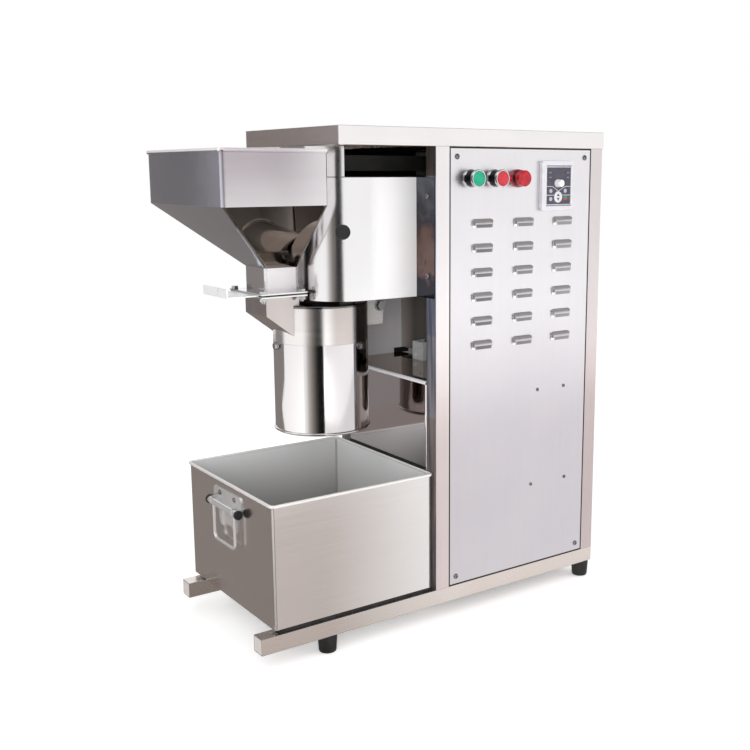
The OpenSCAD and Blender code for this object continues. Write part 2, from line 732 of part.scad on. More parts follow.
function rounded(x0, x1, d, t) = let (r = hop_corner - t, y0 = mid_y - d / 2 + t + r, y1 = mid_y + d / 2 - t - r)
  concat(corner(x1 - t - r, y1, r, 0), corner(x0 + t + r, y1, r, 90), corner(x0 + t + r, y0, r, 180),
    corner(x1 - t - r, y0, r, 270));

// The hopper's outside or inside, from the neck up, with one rounded outline per level
module hop_body(t, top) {
  low = rounded(neck_x0, hop_x1, neck_d, t);
  high = rounded(hop_x0, hop_x1, hop_d, t);
  levels = [gate_high - t, hop_z1, hop_z2, top];
  outlines = [low, low, high, high];
  n = len(low);
  polyhedron(points = [for (k = [0:3], q = outlines[k]) [q[0], q[1], levels[k]]],
    faces = concat([[for (i = [0:n - 1]) i]], [[for (i = [n - 1:-1:0]) 3 * n + i]],
      [for (k = [0:2], i = [0:n - 1]) let (j = (i + 1) % n) [k * n + i, k * n + n + i, k * n + n + j, k * n + j]]));
}

module hopper() place() color("lightgray") difference() {
  union() {
    hop_body(0, hop_top - hop_rim_r);
    translate([0, 0, hop_top]) rolled_rim(hop_x0, hop_x1, mid_y - hop_d / 2, mid_y + hop_d / 2, hop_corner,
      hop_rim - hop_rim_r, hop_rim_r, rim_h);
  }
  hop_body(sheet, hop_top + 1);
}

module guide_corners() for (x = [guide_x0 + 6, guide_x1 - 6], s = [-1, 1])
  translate([x, mid_y + s * (guide_y - 6), 0]) children();

module gate_guide() place() color("silver") difference() {
  union() {
    for (z = [gate_low, gate_roof]) difference() {
      box(guide_x0, guide_x1, mid_y - guide_y, mid_y + guide_y, z, z + flange_t);
      box(neck_x0 + sheet, hop_x1 - sheet, neck_y0 + sheet, neck_y1 - sheet, z - 1, z + flange_t + 1);
    }
    for (y = [mid_y - guide_y + spacer_in, mid_y + guide_y - spacer])
      box(guide_x0 + spacer_in, guide_x1 - spacer_in, y, y + spacer - spacer_in, gate_floor, gate_roof);
  }
  guide_corners() rod(3.2, gate_low - 1, gate_high + 1);
}

module gate_bolts() place() color("dimgray") guide_corners() {
  rod(3, gate_low - 8, gate_high + 1);
  hex(10, gate_high, gate_high + 4);
  hex(10, gate_low - 5, gate_low);
}

module feed_chute() place() color("lightgray") difference() {
  translate([0, neck_y1, 0]) rotate([90, 0, 0]) linear_extrude(height = neck_d) polygon([
    [neck_x0, gate_low], [neck_x0, chute_z], [neck_x0 + 69, chute_z - 51.75], [spindle_x - 20, chute_z - 51.75],
    [spindle_x - 20, chamber_top], [hop_x1, chamber_top], [hop_x1, gate_low]]);
  translate([0, neck_y1 - 1.5, 0]) rotate([90, 0, 0]) linear_extrude(height = neck_d - 3) polygon([
    [neck_x0 + 1.5, gate_low + 1], [neck_x0 + 1.5, chute_z + 0.75], [neck_x0 + 76.5, chute_z - 55.5],
    [spindle_x - 10, chute_z - 55.5], [spindle_x - 10, chamber_top], [hop_x1 - 1.5, chamber_top],
    [hop_x1 - 1.5, gate_low + 1]]);
  on_spindle() rod(drum_r + 0.1, 0, chamber_top);
}

module slide_gate() place() color("silver") {
  z = gate_floor + gate_fit;
  box(gate_x0, gate_x1, mid_y - gate_w / 2, mid_y + gate_w / 2, z, z + gate_t);
  box(gate_x0 - gate_t, gate_x0, mid_y - gate_w / 2, mid_y + gate_w / 2, z, z + 14);
}

// Spindle
module spindle_shaft() place() color("silver") on_spindle() {
  rod(8, rotor_z - 8, rotor_z);
  rod(11, rotor_z, rotor_z + 28);
  rod(shaft_d / 2, rotor_z + 28, housing_top + 5);
  rod(11, housing_top + 5, pulley_z + pulley_h + 3);
}

module pulley(r, bore) difference() {
  union() {
    rod(r, pulley_z, pulley_z + pulley_h);
    for (z = [pulley_z, pulley_z + pulley_h - 2]) rod(r + 6, z, z + 2);
  }
  rod(bore + fit, pulley_z - 1, pulley_z + pulley_h + 1);
}

module spindle_pulley() place() color("dimgray") on_spindle() pulley(spindle_pulley_r, 11);

module grinding_rotor() place() color("gray") on_spindle() difference() {
  union() {
    rod(hammer_r - 8, rotor_z, rotor_z + 5);
    rod(22, rotor_z, rotor_z + 28);
    intersection() {
      for (i = [0:hammers - 1]) rotate([0, 0, 360 / hammers * i + 20])
        translate([20, -4.5, rotor_z]) cube([hammer_r - 15, 9, 26]);
      rod(hammer_r, rotor_z, rotor_z + 30);
    }
  }
  rod(11 + fit, rotor_z - 1, rotor_z + 30);
}

module rotor_nut() place() color("silver") on_spindle() difference() {
  hex(24, rotor_z - 7, rotor_z);
  rod(8 + fit, rotor_z - 8, rotor_z + 1);
}

// Motor
module motor_plate() place() color("silver")
  box(wall_x + sheet + member, motor_face, mid_y - 70, mid_y + 70, head_z - 10, motor_z + tube + 10);

module motor_housing() place() color("slategray") difference() {
  union() {
    on_motor() rod(motor_r - 6, motor_low + 15, motor_top - 15);
    on_motor() for (i = [-9:9]) rotate([0, 0, i * 14])
      translate([motor_r - 8, -1.5, motor_low + 15]) cube([8, 3, 160]);
    for (z = [head_z + 2, motor_z]) box(motor_face, motor_x - 30, mid_y - 55, mid_y + 55, z, z + 20);
  }
  on_motor() rod(motor_shaft_d / 2 + 3, motor_low, motor_top);
}

module motor_end_bells() place() color("slategray") on_motor() {
  ring(motor_shaft_d / 2 + run_fit, motor_r - 2, motor_top - 15, motor_top);
  ring(motor_shaft_d / 2 + run_fit, motor_r - 2, motor_low, motor_low + 15);
}

module fan_cowl() place() color("slategray") on_motor() difference() {
  rod(motor_r, motor_low - 42, motor_low + 12);
  rod(motor_r - 1.5, motor_low - 40.5, motor_low + 13);
  for (i = [0:7]) rotate([0, 0, 45 * i]) translate([20, -4, motor_low - 43]) cube([32, 8, 4]);
}

module terminal_box() place() color("slategray")
  box(motor_x - 32, motor_x + 32, mid_y + motor_r, mid_y + motor_r + 24, motor_top - 85, motor_top - 25);

module motor_shaft() place() color("silver") on_motor()
  rod(motor_shaft_d / 2, motor_low - 35, pulley_z + pulley_h + 3);

module motor_pulley() place() color("dimgray") on_motor() pulley(motor_pulley_r, motor_shaft_d / 2);

module motor_fan() place() color("black") on_motor() difference() {
  union() {
    rod(17, motor_low - 34, motor_low - 8);
    rod(50, motor_low - 14, motor_low - 10);
    for (i = [0:6]) rotate([0, 0, 360 / 7 * i]) translate([10, -1.5, motor_low - 34]) cube([42, 3, 22]);
  }
  rod(motor_shaft_d / 2 + fit, motor_low - 40, motor_low);
}

// The belt runs round both pulleys, clear of them
function belt_loop(grow) = let (r1 = spindle_pulley_r + 0.4 + grow, r2 = motor_pulley_r + 0.4 + grow,
  span = motor_x - spindle_x, a = acos((r1 - r2) / span))
  concat([for (i = [0:18]) let (b = a + (360 - 2 * a) * i / 18) r1 / cos((180 - a) / 36) * [cos(b), sin(b)]],
    [for (i = [0:18]) let (b = -a + 2 * a * i / 18) [span, 0] + r2 / cos(a / 36) * [cos(b), sin(b)]]);

module drive_belt() place() color("black") translate([spindle_x, mid_y, belt_z + 0.5])
  linear_extrude(height = belt_w) difference() {
    polygon(belt_loop(belt_t));
    polygon(belt_loop(0));
  }

// Controls
module button_bezels() place() color("silver")
  for (i = [0, 1]) to_front(button_x + i * button_pitch, button_z) rotate_extrude() polygon([
    [stem_r + 0.3, -30], [barrel_r, -30], [barrel_r, -sheet - 5], [barrel_r + 4, -sheet - 5],
    [barrel_r + 4, -sheet], [barrel_r, -sheet], [barrel_r, 0], [bezel_d / 2, 0], [bezel_d / 2, 2.2],
    [bezel_d / 2 - 1.2, 3.2], [bezel_d / 2 - 1.2, button_out - 5.5], [bezel_d / 2 - 0.3, button_out - 4.6],
    [bezel_d / 2 - 0.3, button_out - 1.6], [bezel_d / 2 - 1.2, button_out - 0.7], [bore_r, button_out - 0.7],
    [bore_r, cap_seat], [stem_r + 0.3, cap_seat]]);

module contact_blocks() place() color([0.15, 0.15, 0.15])
  for (i = [0:2]) to_front(button_x + i * button_pitch, button_z) translate([-13, -15, -58]) cube([26, 30, 27.8]);

module button_cap(i) to_front(button_x + i * button_pitch, button_z) rotate_extrude() polygon([
  [0, -24], [stem_r, -24], [stem_r, button_out - cap_t], [cap_r, button_out - cap_t], [cap_r, button_out - 0.8],
  [cap_r - 0.8, button_out], [0, button_out]]);

module start_button() place() color("green") button_cap(0);

module stop_button() place() color("red") button_cap(1);

module pilot_lamp() place() color("red") to_front(button_x + 2 * button_pitch, button_z)
  rotate_extrude() polygon([[0, -30], [barrel_r, -30], [barrel_r, -sheet - 5], [barrel_r + 4, -sheet - 5],
    [barrel_r + 4, -sheet], [barrel_r, -sheet], [barrel_r, 0], [bezel_d / 2, 0], [bezel_d / 2, 3],
    [bezel_d / 2 - 0.8, 3.8], [bezel_d / 2 - 0.8, lens_z - 0.7], [bezel_d / 2 - 1.5, lens_z],
    [bezel_d / 2 - 1.5, button_out - 3], [bezel_d / 2 - 2.4, button_out - 1.4],
    [bezel_d / 2 - 5, button_out - 0.5], [0, button_out - 0.2]]);

module keypad_frame() place() color("silver") to_front(keypad_x, keypad_z) difference() {
  union() {
    linear_extrude(height = 7) round_rect(-keypad_w / 2, keypad_w / 2, -keypad_h / 2, keypad_h / 2, 3);
    translate([-keypad_w / 2 + 5.3, -keypad_h / 2 + 5.3, -18]) cube([keypad_w - 10.6, keypad_h - 10.6, 19]);
  }
  translate([-keypad_w / 2 + 10, -keypad_h / 2 + 10, 4.5]) cube([keypad_w - 15, keypad_h - 20, 4]);
}

module keypad_face() place() color([0.1, 0.1, 0.12]) to_front(keypad_x, keypad_z)
  translate([-keypad_w / 2 + 10.2, -keypad_h / 2 + 10.2, 4.5]) cube([keypad_w - 15.4, keypad_h - 20.4, 1.5]);

module speed_knob() place() color("gray") to_front(knob_x, knob_z) rotate_extrude() polygon([[0, 6.3],
  [knob_d / 2, 6.3], [knob_d / 2 - 0.8, 16.2], [knob_d / 2 - 1.6, 17], [0, 17]]);

module inverter() place() color([0.2, 0.2, 0.22]) {
  x = keypad_x - 2;
  box(x - 42, x + 42, panel_in + 5, panel_in + 60, inverter_z - 88, inverter_z + 88);
  box(x - 36, x + 36, panel_in + 59, panel_in + 100, inverter_z - 80, inverter_z + 80);
  for (q = inverter_screws()) difference() {
    to_front(q[0], q[1], panel_in + 5.5) rod(4, 0, 5.5);
    to_front(q[0], q[1], panel_in + 5) rod(2, 0, 7);
  }
}

// Powder bin
module bin() place() color("gainsboro") {
  r = (bin_rim + sheet) / 2 - 0.1;
  difference() {
    translate([0, 0, bin_z]) linear_extrude(height = bin_h - r)
      round_rect(bin_x0, bin_x1, bin_y0, bin_y1, bin_corner);
    translate([0, 0, bin_z + sheet]) linear_extrude(height = bin_h)
      round_rect(bin_x0 + sheet, bin_x1 - sheet, bin_y0 + sheet, bin_y1 - sheet, bin_corner - sheet);
  }
  translate([0, 0, bin_top]) rolled_rim(bin_x0, bin_x1, bin_y0, bin_y1, bin_corner, bin_rim - r, r, bin_rim_h);
}

module bin_runners() place() color("black")
  for (y = [5, back_y + 5]) box(-rail_reach + 32, -8, y, y + tube - 10, tube, tube + runner_t);

module pin_rod(r, y0, y1) translate([pin_x, pin_y + y0, pin_z]) rotate([-90, 0, 0]) cylinder(r = r, h = y1 - y0);

module bin_handle() place() color("silver") {
  in = bail_w / 2 + bail_d / 2 + 0.5;
  out = in + lug_w;
  difference() {
    translate([bin_x0 - 2, 0, 0]) rotate([90, 0, 90]) linear_extrude(height = 2)
      round_rect(pin_y - out, pin_y + out, pin_z - 4, pin_z + 24, 9);
    for (s = [-25, 25]) translate([bin_x0 - 3, pin_y + s, pin_z + 16]) rotate([0, 90, 0]) cylinder(r = 2.5, h = 4);
  }
  difference() {
    union() {
      for (y = [-out, in]) {
        pin_rod(5.5, y, y + lug_w);
        box(pin_x, bin_x0 - 1, pin_y + y, pin_y + y + lug_w, pin_z + 1, pin_z + 5.5);
      }
      pin_rod(5.5, -in + bail_d + 1, in - bail_d - 1);
      box(pin_x, bin_x0 - 1, pin_y - in + bail_d + 1, pin_y + in - bail_d - 1, pin_z + 1, pin_z + 5.5);
    }
    for (y = [-out - 1, in - 1]) pin_rod(bail_d / 2 + 0.3, y, y + lug_w + 2);
  }
}

module bail_bumpers() place() color("black") {
  out = bail_w / 2 + bail_d / 2 + 0.5 + lug_w;
  for (y = [-out - 4, out]) pin_rod(7, y, y + 4);
}

module bin_bail() place() color("silver") translate([pin_x, pin_y, pin_z]) {
  r = bail_d / 2;
  bend = 10;
  for (s = [-1, 1]) {
    translate([0, s * bail_w / 2, -bail_l + bend]) cylinder(r = r, h = bail_l - bend);
    translate([0, s * bail_w / 2, 0]) sphere(r = r);
    translate([0, s * bail_w / 2, 0]) rotate([-90 * s, 0, 0]) cylinder(r = r, h = lug_w + r);
  }
  translate([0, -bail_w / 2 + bend, -bail_l]) rotate([-90, 0, 0]) cylinder(r = r, h = bail_w - 2 * bend);
  for (s = [0, 1]) translate([0, (s * 2 - 1) * (bail_w / 2 - bend), -bail_l + bend]) rotate([0, 90, 0])
    rotate([0, 0, s == 0 ? -90 : 0]) rotate_extrude(angle = 90) translate([bend, 0]) circle(r = r);
}

base_frame();
rail_end_caps();
feet();
cabinet_posts();
top_frame();
cross_members();
deck();
front_panel();
panel_screws();
back_panel();
right_panel();
cable_gland();
bay_panel();
bay_wall();
bay_bracket();
spindle_cover();
cover_plug();
belt_housing();
belt_tray();
head_plate();
bearing_housing();
spindle_bearings();
chamber_lid();
grinding_chamber();
grinding_ring();
screen();
discharge_drum();
head_bolts();
hopper();
gate_guide();
gate_bolts();
feed_chute();
slide_gate();
spindle_shaft();
spindle_pulley();
grinding_rotor();
rotor_nut();
motor_plate();
motor_housing();
motor_end_bells();
fan_cowl();
terminal_box();
motor_shaft();
motor_pulley();
motor_fan();
drive_belt();
button_bezels();
contact_blocks();
start_button();
stop_button();
pilot_lamp();
keypad_frame();
keypad_face();
speed_knob();
inverter();
bin();
bin_runners();
bin_handle();
bail_bumpers();
bin_bail();
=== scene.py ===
import math

import bmesh
import bpy
from mathutils import Matrix, Vector


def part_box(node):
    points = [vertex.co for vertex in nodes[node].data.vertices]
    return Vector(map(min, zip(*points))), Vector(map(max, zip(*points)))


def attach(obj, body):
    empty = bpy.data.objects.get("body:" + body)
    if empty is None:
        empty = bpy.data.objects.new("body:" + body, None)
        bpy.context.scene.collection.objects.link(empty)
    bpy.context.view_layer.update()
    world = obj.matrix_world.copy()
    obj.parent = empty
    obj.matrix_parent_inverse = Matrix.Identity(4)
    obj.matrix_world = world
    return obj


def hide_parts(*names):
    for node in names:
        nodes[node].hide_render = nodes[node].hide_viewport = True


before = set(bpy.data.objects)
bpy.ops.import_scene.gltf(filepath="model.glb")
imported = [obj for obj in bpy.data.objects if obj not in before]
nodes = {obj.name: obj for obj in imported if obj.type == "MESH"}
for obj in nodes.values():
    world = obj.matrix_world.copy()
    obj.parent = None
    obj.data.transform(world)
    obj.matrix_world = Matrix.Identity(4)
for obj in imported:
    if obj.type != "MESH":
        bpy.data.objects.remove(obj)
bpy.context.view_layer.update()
scene = bpy.context.scene
scene.view_settings.view_transform = "Standard"


# The view: a normal lens at the height of the hopper's rim, in front of the machine and to its left.
# The small shift frames the machine and keeps its upright edges as they stand.
eye = bpy.data.cameras.new("eye")
eye.lens = 50
eye.sensor_width = 36
eye.shift_x = -0.0845
eye.shift_y = -0.0071
eye_stand = bpy.data.objects.new("eye", eye)
eye_stand.location = (-0.9189, -1.4028, 0.7061)
eye_stand.rotation_euler = (math.radians(79.26), 0, math.radians(-36.09))
scene.collection.objects.link(eye_stand)
scene.camera = eye_stand


# The studio: a white floor under an even white sky, with two soft boxes and a low fill lamp.
# Grey flags and mats give the steel something darker to mirror, as in any picture of polished metal.
def linear(code):
    """A hex colour as it is seen, turned into the linear colour that shaders take."""
    parts = [int(code[i:i + 2], 16) / 255 for i in (1, 3, 5)]
    return [*(c / 12.92 if c <= 0.04045 else ((c + 0.055) / 1.055) ** 2.4 for c in parts), 1.0]


def add(tree, kind, settings=None, inputs=None):
    """Adds a node, sets its properties, and sets or links its inputs by name or number."""
    node = tree.nodes.new(kind)
    for key, value in (settings or {}).items():
        setattr(node, key, value)
    for key, value in (inputs or {}).items():
        socket = node.inputs[key]
        if isinstance(value, bpy.types.NodeSocket):
            tree.links.new(value, socket)
        else:
            socket.default_value = value
    return node


def ramp_stops(node, *stops):
    """Gives a colour ramp its stops: places and hex colours."""
    band = node.color_ramp
    while len(band.elements) > 1:
        band.elements.remove(band.elements[-1])
    for i, (spot, code) in enumerate(stops):
        stop = band.elements[0] if i == 0 else band.elements.new(spot)
        stop.position = spot
        stop.color = linear(code)


def seen_plainly(tree):
    """Where a ray comes straight from the eye, or by way of metal or glass, where white has to be white."""
    path = add(tree, "ShaderNodeLightPath")
    direct = add(tree, "ShaderNodeMath", {"operation": "MAXIMUM"},
                 {0: path.outputs["Is Camera Ray"], 1: path.outputs["Is Glossy Ray"]})
    direct = add(tree, "ShaderNodeMath", {"operation": "MAXIMUM"},
                 {0: direct.outputs["Value"], 1: path.outputs["Is Transmission Ray"]})
    return direct.outputs["Value"]


def level(x0, y0, x1, y1, height):
    """The corners of a level rectangle."""
    return [(x0, y0, height), (x1, y0, height), (x1, y1, height), (x0, y1, height)]


def card(name, corners, faces=None):
    """A card of the studio from its corners: one flat face, unless its faces are given."""
    mesh = bpy.data.meshes.new(name)
    mesh.from_pydata(corners, [], faces or [range(len(corners))])
    made = bpy.data.objects.new(name, mesh)
    scene.collection.objects.link(made)
    return made


def glow(name, made, centre, turn, size, kind, *stops):
    """Makes a card a flag or soft box: a gradient of light along a direction, seen only in reflections."""
    finish = bpy.data.materials.new(name)
    finish.use_nodes = True
    tree = finish.node_tree
    tree.nodes.clear()
    spot = add(tree, "ShaderNodeTexCoord").outputs["Object"]
    mapped = add(tree, "ShaderNodeMapping", {"vector_type": "TEXTURE"},
                 {"Vector": spot, "Location": centre, "Rotation": (0, 0, turn), "Scale": size})
    shade = add(tree, "ShaderNodeTexGradient", {"gradient_type": kind}, {"Vector": mapped.outputs["Vector"]})
    ramp = add(tree, "ShaderNodeValToRGB", None, {"Fac": shade.outputs["Fac"]})
    ramp_stops(ramp, *stops)
    light = add(tree, "ShaderNodeEmission", None, {"Color": ramp.outputs["Color"], "Strength": 1.0})
    add(tree, "ShaderNodeOutputMaterial", None, {"Surface": light.outputs["Emission"]})
    made.data.materials.append(finish)
    made.visible_camera = False
    made.visible_diffuse = False
    made.visible_shadow = False
    made.visible_transmission = False


sky = bpy.data.worlds.new("white_sky")
scene.world = sky
sky.use_nodes = True
tree = sky.node_tree
tree.nodes.clear()
sky_level = add(tree, "ShaderNodeMapRange", None,
                {"Value": seen_plainly(tree), "To Min": 0.72, "To Max": 1.0})
sky_light = add(tree, "ShaderNodeBackground", None,
                {"Color": linear("#FFFFFF"), "Strength": sky_level.outputs["Result"]})
add(tree, "ShaderNodeOutputWorld", None, {"Surface": sky_light.outputs["Background"]})

# Matt white floor paint: it takes the machine's shadow and otherwise runs into the white sky.
# Its faint clouds are 333 mm across.
floor = card("floor", level(-14, -14, 14, 14, 0))
floor_paint = bpy.data.materials.new("white_floor_paint")
floor_paint.use_nodes = True
tree = floor_paint.node_tree
tree.nodes.clear()
floor_spot = add(tree, "ShaderNodeTexCoord").outputs["Object"]
floor_cloud = add(tree, "ShaderNodeTexNoise", None,
                  {"Vector": floor_spot, "Scale": 1000 / 333, "Detail": 2.0})
floor_tone = add(tree, "ShaderNodeValToRGB", None, {"Fac": floor_cloud.outputs["Fac"]})
ramp_stops(floor_tone, (0.3, "#FBFBFB"), (0.7, "#FFFFFF"))
floor_matt = add(tree, "ShaderNodeBsdfDiffuse", None, {"Color": floor_tone.outputs["Color"]})
lift = add(tree, "ShaderNodeMath", {"operation": "MULTIPLY"}, {0: seen_plainly(tree), 1: 0.3})
floor_lift = add(tree, "ShaderNodeEmission", None,
                 {"Color": linear("#FFFFFF"), "Strength": lift.outputs["Value"]})
floor_both = add(tree, "ShaderNodeAddShader", None,
                 {0: floor_matt.outputs["BSDF"], 1: floor_lift.outputs["Emission"]})
add(tree, "ShaderNodeOutputMaterial", None, {"Surface": floor_both.outputs["Shader"]})
floor.data.materials.append(floor_paint)

lamp_aim = Vector((0, 0, 0.4))
for name, spot, size, watts in (("left_soft_box", (-2.2, -1.6, 2.6), 1.8, 18),
                                ("right_soft_box", (2.4, -2.4, 2.2), 2.0, 24),
                                ("low_fill", (-1.3, -1.95, 0.8), 1.0, 22)):
    box_light = bpy.data.lights.new(name, "AREA")
    box_light.shape = "SQUARE"
    box_light.size = size
    box_light.energy = watts
    lamp = bpy.data.objects.new(name, box_light)
    lamp.location = spot
    lamp.rotation_euler = (lamp_aim - Vector(spot)).to_track_quat("-Z", "Y").to_euler()
    lamp.visible_glossy = False
    scene.collection.objects.link(lamp)

rear_mat = card("floor_mat", level(-1.1, -1.4, 1.6, 3.0, 0.002))
glow("grey_floor_mat", rear_mat, (0.0, 0.5, 0), math.radians(-70), (1.8, 1.8, 1.8), "LINEAR",
     (0.2, "#8C8480"), (0.3, "#9C9490"), (0.38, "#D2CAC5"), (0.52, "#E6E0DD"), (0.64, "#F7F4F3"),
     (0.8, "#FFFFFF"))
left_flag = card("left_flag", [(-1.75, 1.3, 0), (-0.45, 1.3, 0), (-0.45, 1.3, 2.2), (-1.75, 1.3, 2.2)])
glow("grey_flag", left_flag, (-1.8, 1.3, 1.1), 0, (1.4, 1, 1.4), "LINEAR",
     (0.0, "#8A8584"), (1.0, "#8E8988"))
top_flag = card("top_flag", level(-0.2, -4.4, 4.8, 0.3, 2.4))
glow("dark_top_flag", top_flag, (1.2, -1.2, 2.4), 0, (1.6, 1, 1), "LINEAR",
     (0.0, "#8E8C8B"), (1.0, "#A09E9D"))

# The dark gap between the soft boxes fans out from the drum's axis, over the floor and up a wall.
drum_axis = Vector((-0.1218, 0.002, 0))
gap_angles = [math.radians(a) for a in range(-162, -113, 2)]
gap_corners = []
for reach, height in ((0.35, 0.003), (3.2, 0.003), (3.2, 2.5)):
    for angle in gap_angles:
        gap_corners.append(drum_axis + Vector((reach * math.cos(angle), reach * math.sin(angle), height)))
rays = len(gap_angles)
gap_faces = []
for first in (0, rays):
    for i in range(first, first + rays - 1):
        gap_faces.append((i, i + 1, rays + i + 1, rays + i))
gap = card("dark_gap", gap_corners, gap_faces)
glow("dark_gap_between_soft_boxes", gap, drum_axis, 0, (1, 1, 1), "RADIAL",
     (0.062, "#FFFFFF"), (0.0833, "#BDB8B5"), (0.108, "#85807E"), (0.132, "#4A4745"), (0.15, "#1A1919"),
     (0.183, "#0C0C0C"))
front_mat = card("front_mat", level(-0.45, -0.17, 0.9, -0.9, 0.004))
glow("shaded_front_mat", front_mat, (-0.9189, 1.1378, 0), 0, (1, 1, 1), "RADIAL",
     (0.32, "#CFC6C2"), (0.332, "#C9C1BE"), (0.343, "#EAE7E6"), (0.3515, "#FFFFFF"))


# Frame: square stainless tube, saw cut, welded and ground satin. Two long rails carry everything.
# The tube ends are closed by small caps, and four rubber feet are screwed under the rails.
def new_material(name):
    """An empty material with its shader, and the place on the piece that its patterns start from."""
    made = bpy.data.materials.new(name)
    made.use_nodes = True
    tree = made.node_tree
    tree.nodes.clear()
    shader = add(tree, "ShaderNodeBsdfPrincipled")
    add(tree, "ShaderNodeOutputMaterial", None, {"Surface": shader.outputs["BSDF"]})
    return made, tree, shader, add(tree, "ShaderNodeTexCoord").outputs["Object"]


def surface(tree, shader, tone, gloss, relief):
    """Links a pattern's colour, roughness and relief to the shader."""
    tree.links.new(tone.outputs["Color"], shader.inputs["Base Color"])
    tree.links.new(gloss.outputs["Result"], shader.inputs["Roughness"])
    tree.links.new(relief.outputs["Normal"], shader.inputs["Normal"])


def steel(name, pale, dark, rough, streak, wave=0.0, metallic=1.0):
    """Steel sheet. The streak is the size of its brush marks along X, Y and Z in millimetres. They are drawn
    some millimetres wide, because the real ones, of a tenth of that, would not show. Clouds of 111 mm vary
    the tone. The wave is the height of the sheet's unevenness in metres, in swells of 143 mm."""
    made, tree, shader, spot = new_material(name)
    cloud = add(tree, "ShaderNodeTexNoise", None, {"Vector": spot, "Scale": 1000 / 111, "Detail": 3.0})
    combed = add(tree, "ShaderNodeMapping", None,
                 {"Vector": spot, "Scale": [1000 / size for size in streak]})
    marks = add(tree, "ShaderNodeTexNoise", None,
                {"Vector": combed.outputs["Vector"], "Scale": 1.0, "Detail": 1.0, "Roughness": 0.5})
    both = add(tree, "ShaderNodeMix", {"data_type": "FLOAT"},
               {"Factor": 0.3, "A": cloud.outputs["Fac"], "B": marks.outputs["Fac"]})
    tone = add(tree, "ShaderNodeValToRGB", None, {"Fac": both.outputs["Result"]})
    ramp_stops(tone, (0.3, dark), (0.7, pale))
    gloss = add(tree, "ShaderNodeMapRange", None,
                {"Value": marks.outputs["Fac"], "From Min": 0.2, "From Max": 0.8,
                 "To Min": rough * 0.9, "To Max": rough * 1.12})
    relief = add(tree, "ShaderNodeBump", None,
                 {"Height": marks.outputs["Fac"], "Strength": 0.1, "Distance": 0.00001})
    if wave:
        swell = add(tree, "ShaderNodeTexNoise", None, {"Vector": spot, "Scale": 1000 / 143, "Detail": 1.0})
        relief = add(tree, "ShaderNodeBump", None,
                     {"Height": swell.outputs["Fac"], "Strength": 1.0, "Distance": wave,
                      "Normal": relief.outputs["Normal"]})
    shader.inputs["Metallic"].default_value = metallic
    surface(tree, shader, tone, gloss, relief)
    return made


smooth_tree = bpy.data.node_groups.new("soft_edges", "GeometryNodeTree")
smooth_tree.interface.new_socket("Geometry", in_out="INPUT", socket_type="NodeSocketGeometry")
smooth_tree.interface.new_socket("Sharp Angle", in_out="INPUT", socket_type="NodeSocketFloat")
smooth_tree.interface.new_socket("Geometry", in_out="OUTPUT", socket_type="NodeSocketGeometry")
shape_in = add(smooth_tree, "NodeGroupInput")
joined = add(smooth_tree, "GeometryNodeMergeByDistance", None,
             {"Geometry": shape_in.outputs["Geometry"], "Distance": 0.000005})
rounded = add(smooth_tree, "GeometryNodeSetShadeSmooth", {"domain": "FACE"},
              {"Geometry": joined.outputs["Geometry"], "Shade Smooth": True})
fold = add(smooth_tree, "GeometryNodeInputMeshEdgeAngle")
crisp = add(smooth_tree, "FunctionNodeCompare", {"operation": "GREATER_THAN"},
            {0: fold.outputs["Unsigned Angle"], 1: shape_in.outputs["Sharp Angle"]})
edged = add(smooth_tree, "GeometryNodeSetShadeSmooth", {"domain": "EDGE"},
            {"Geometry": rounded.outputs["Geometry"], "Selection": crisp.outputs["Result"],
             "Shade Smooth": False})
add(smooth_tree, "NodeGroupOutput", None, {"Geometry": edged.outputs["Geometry"]})
sharp_input = next(s.identifier for s in smooth_tree.interface.items_tree
                   if s.name == "Sharp Angle" and s.in_out == "INPUT")


def dress(material, edge, *names):
    """Gives CAD nodes their finish, with edges broken by so many millimetres."""
    for name in names:
        node = nodes[name]
        if node.data.materials:
            node.data.materials[0] = material
        else:
            node.data.materials.append(material)
        soft = node.modifiers.new("soft_edges", "NODES")
        soft.node_group = smooth_tree
        soft[sharp_input] = math.radians(24)
        if edge:
            flat = node.modifiers.new("flat_faces", "DECIMATE")
            flat.decimate_type = "DISSOLVE"
            flat.angle_limit = math.radians(0.5)
            broken = node.modifiers.new("broken_edges", "BEVEL")
            broken.width = edge / 1000
            broken.segments = 2
            broken.limit_method = "ANGLE"
            broken.angle_limit = math.radians(35)
            broken.harden_normals = True


# Satin tube: warm grey, with streaks along its length and blurred reflections.
tube_steel = steel("satin_stainless_tube", "#E7E0DB", "#E0D9D4", 0.26, (111, 2.63, 2.63), 0.0001)
dress(tube_steel, 0.8, "base_frame")
# The caps look pale and nearly matt, because their sawn faces were only ground.
cap_steel = steel("pale_cap_stainless", "#EFE8E4", "#E6DFDA", 0.4, (25, 25, 25), 0.0, 0.35)
dress(cap_steel, 0.3, "rail_end_caps")


def matt(name, pale, dark, rough):
    """A matt moulded, cast or painted surface: a grain of 1.43 mm, and dust in spots of 16.7 mm."""
    made, tree, shader, spot = new_material(name)
    grain = add(tree, "ShaderNodeTexNoise", None, {"Vector": spot, "Scale": 1000 / 1.43, "Detail": 3.0})
    dust = add(tree, "ShaderNodeTexNoise", None, {"Vector": spot, "Scale": 1000 / 16.7, "Detail": 4.0})
    tone = add(tree, "ShaderNodeValToRGB", None, {"Fac": dust.outputs["Fac"]})
    ramp_stops(tone, (0.4, dark), (0.7, pale))
    gloss = add(tree, "ShaderNodeMapRange", None,
                {"Value": dust.outputs["Fac"], "To Min": rough - 0.12, "To Max": rough + 0.12})
    relief = add(tree, "ShaderNodeBump", None,
                 {"Height": grain.outputs["Fac"], "Strength": 0.4, "Distance": 0.0002})
    surface(tree, shader, tone, gloss, relief)
    return made


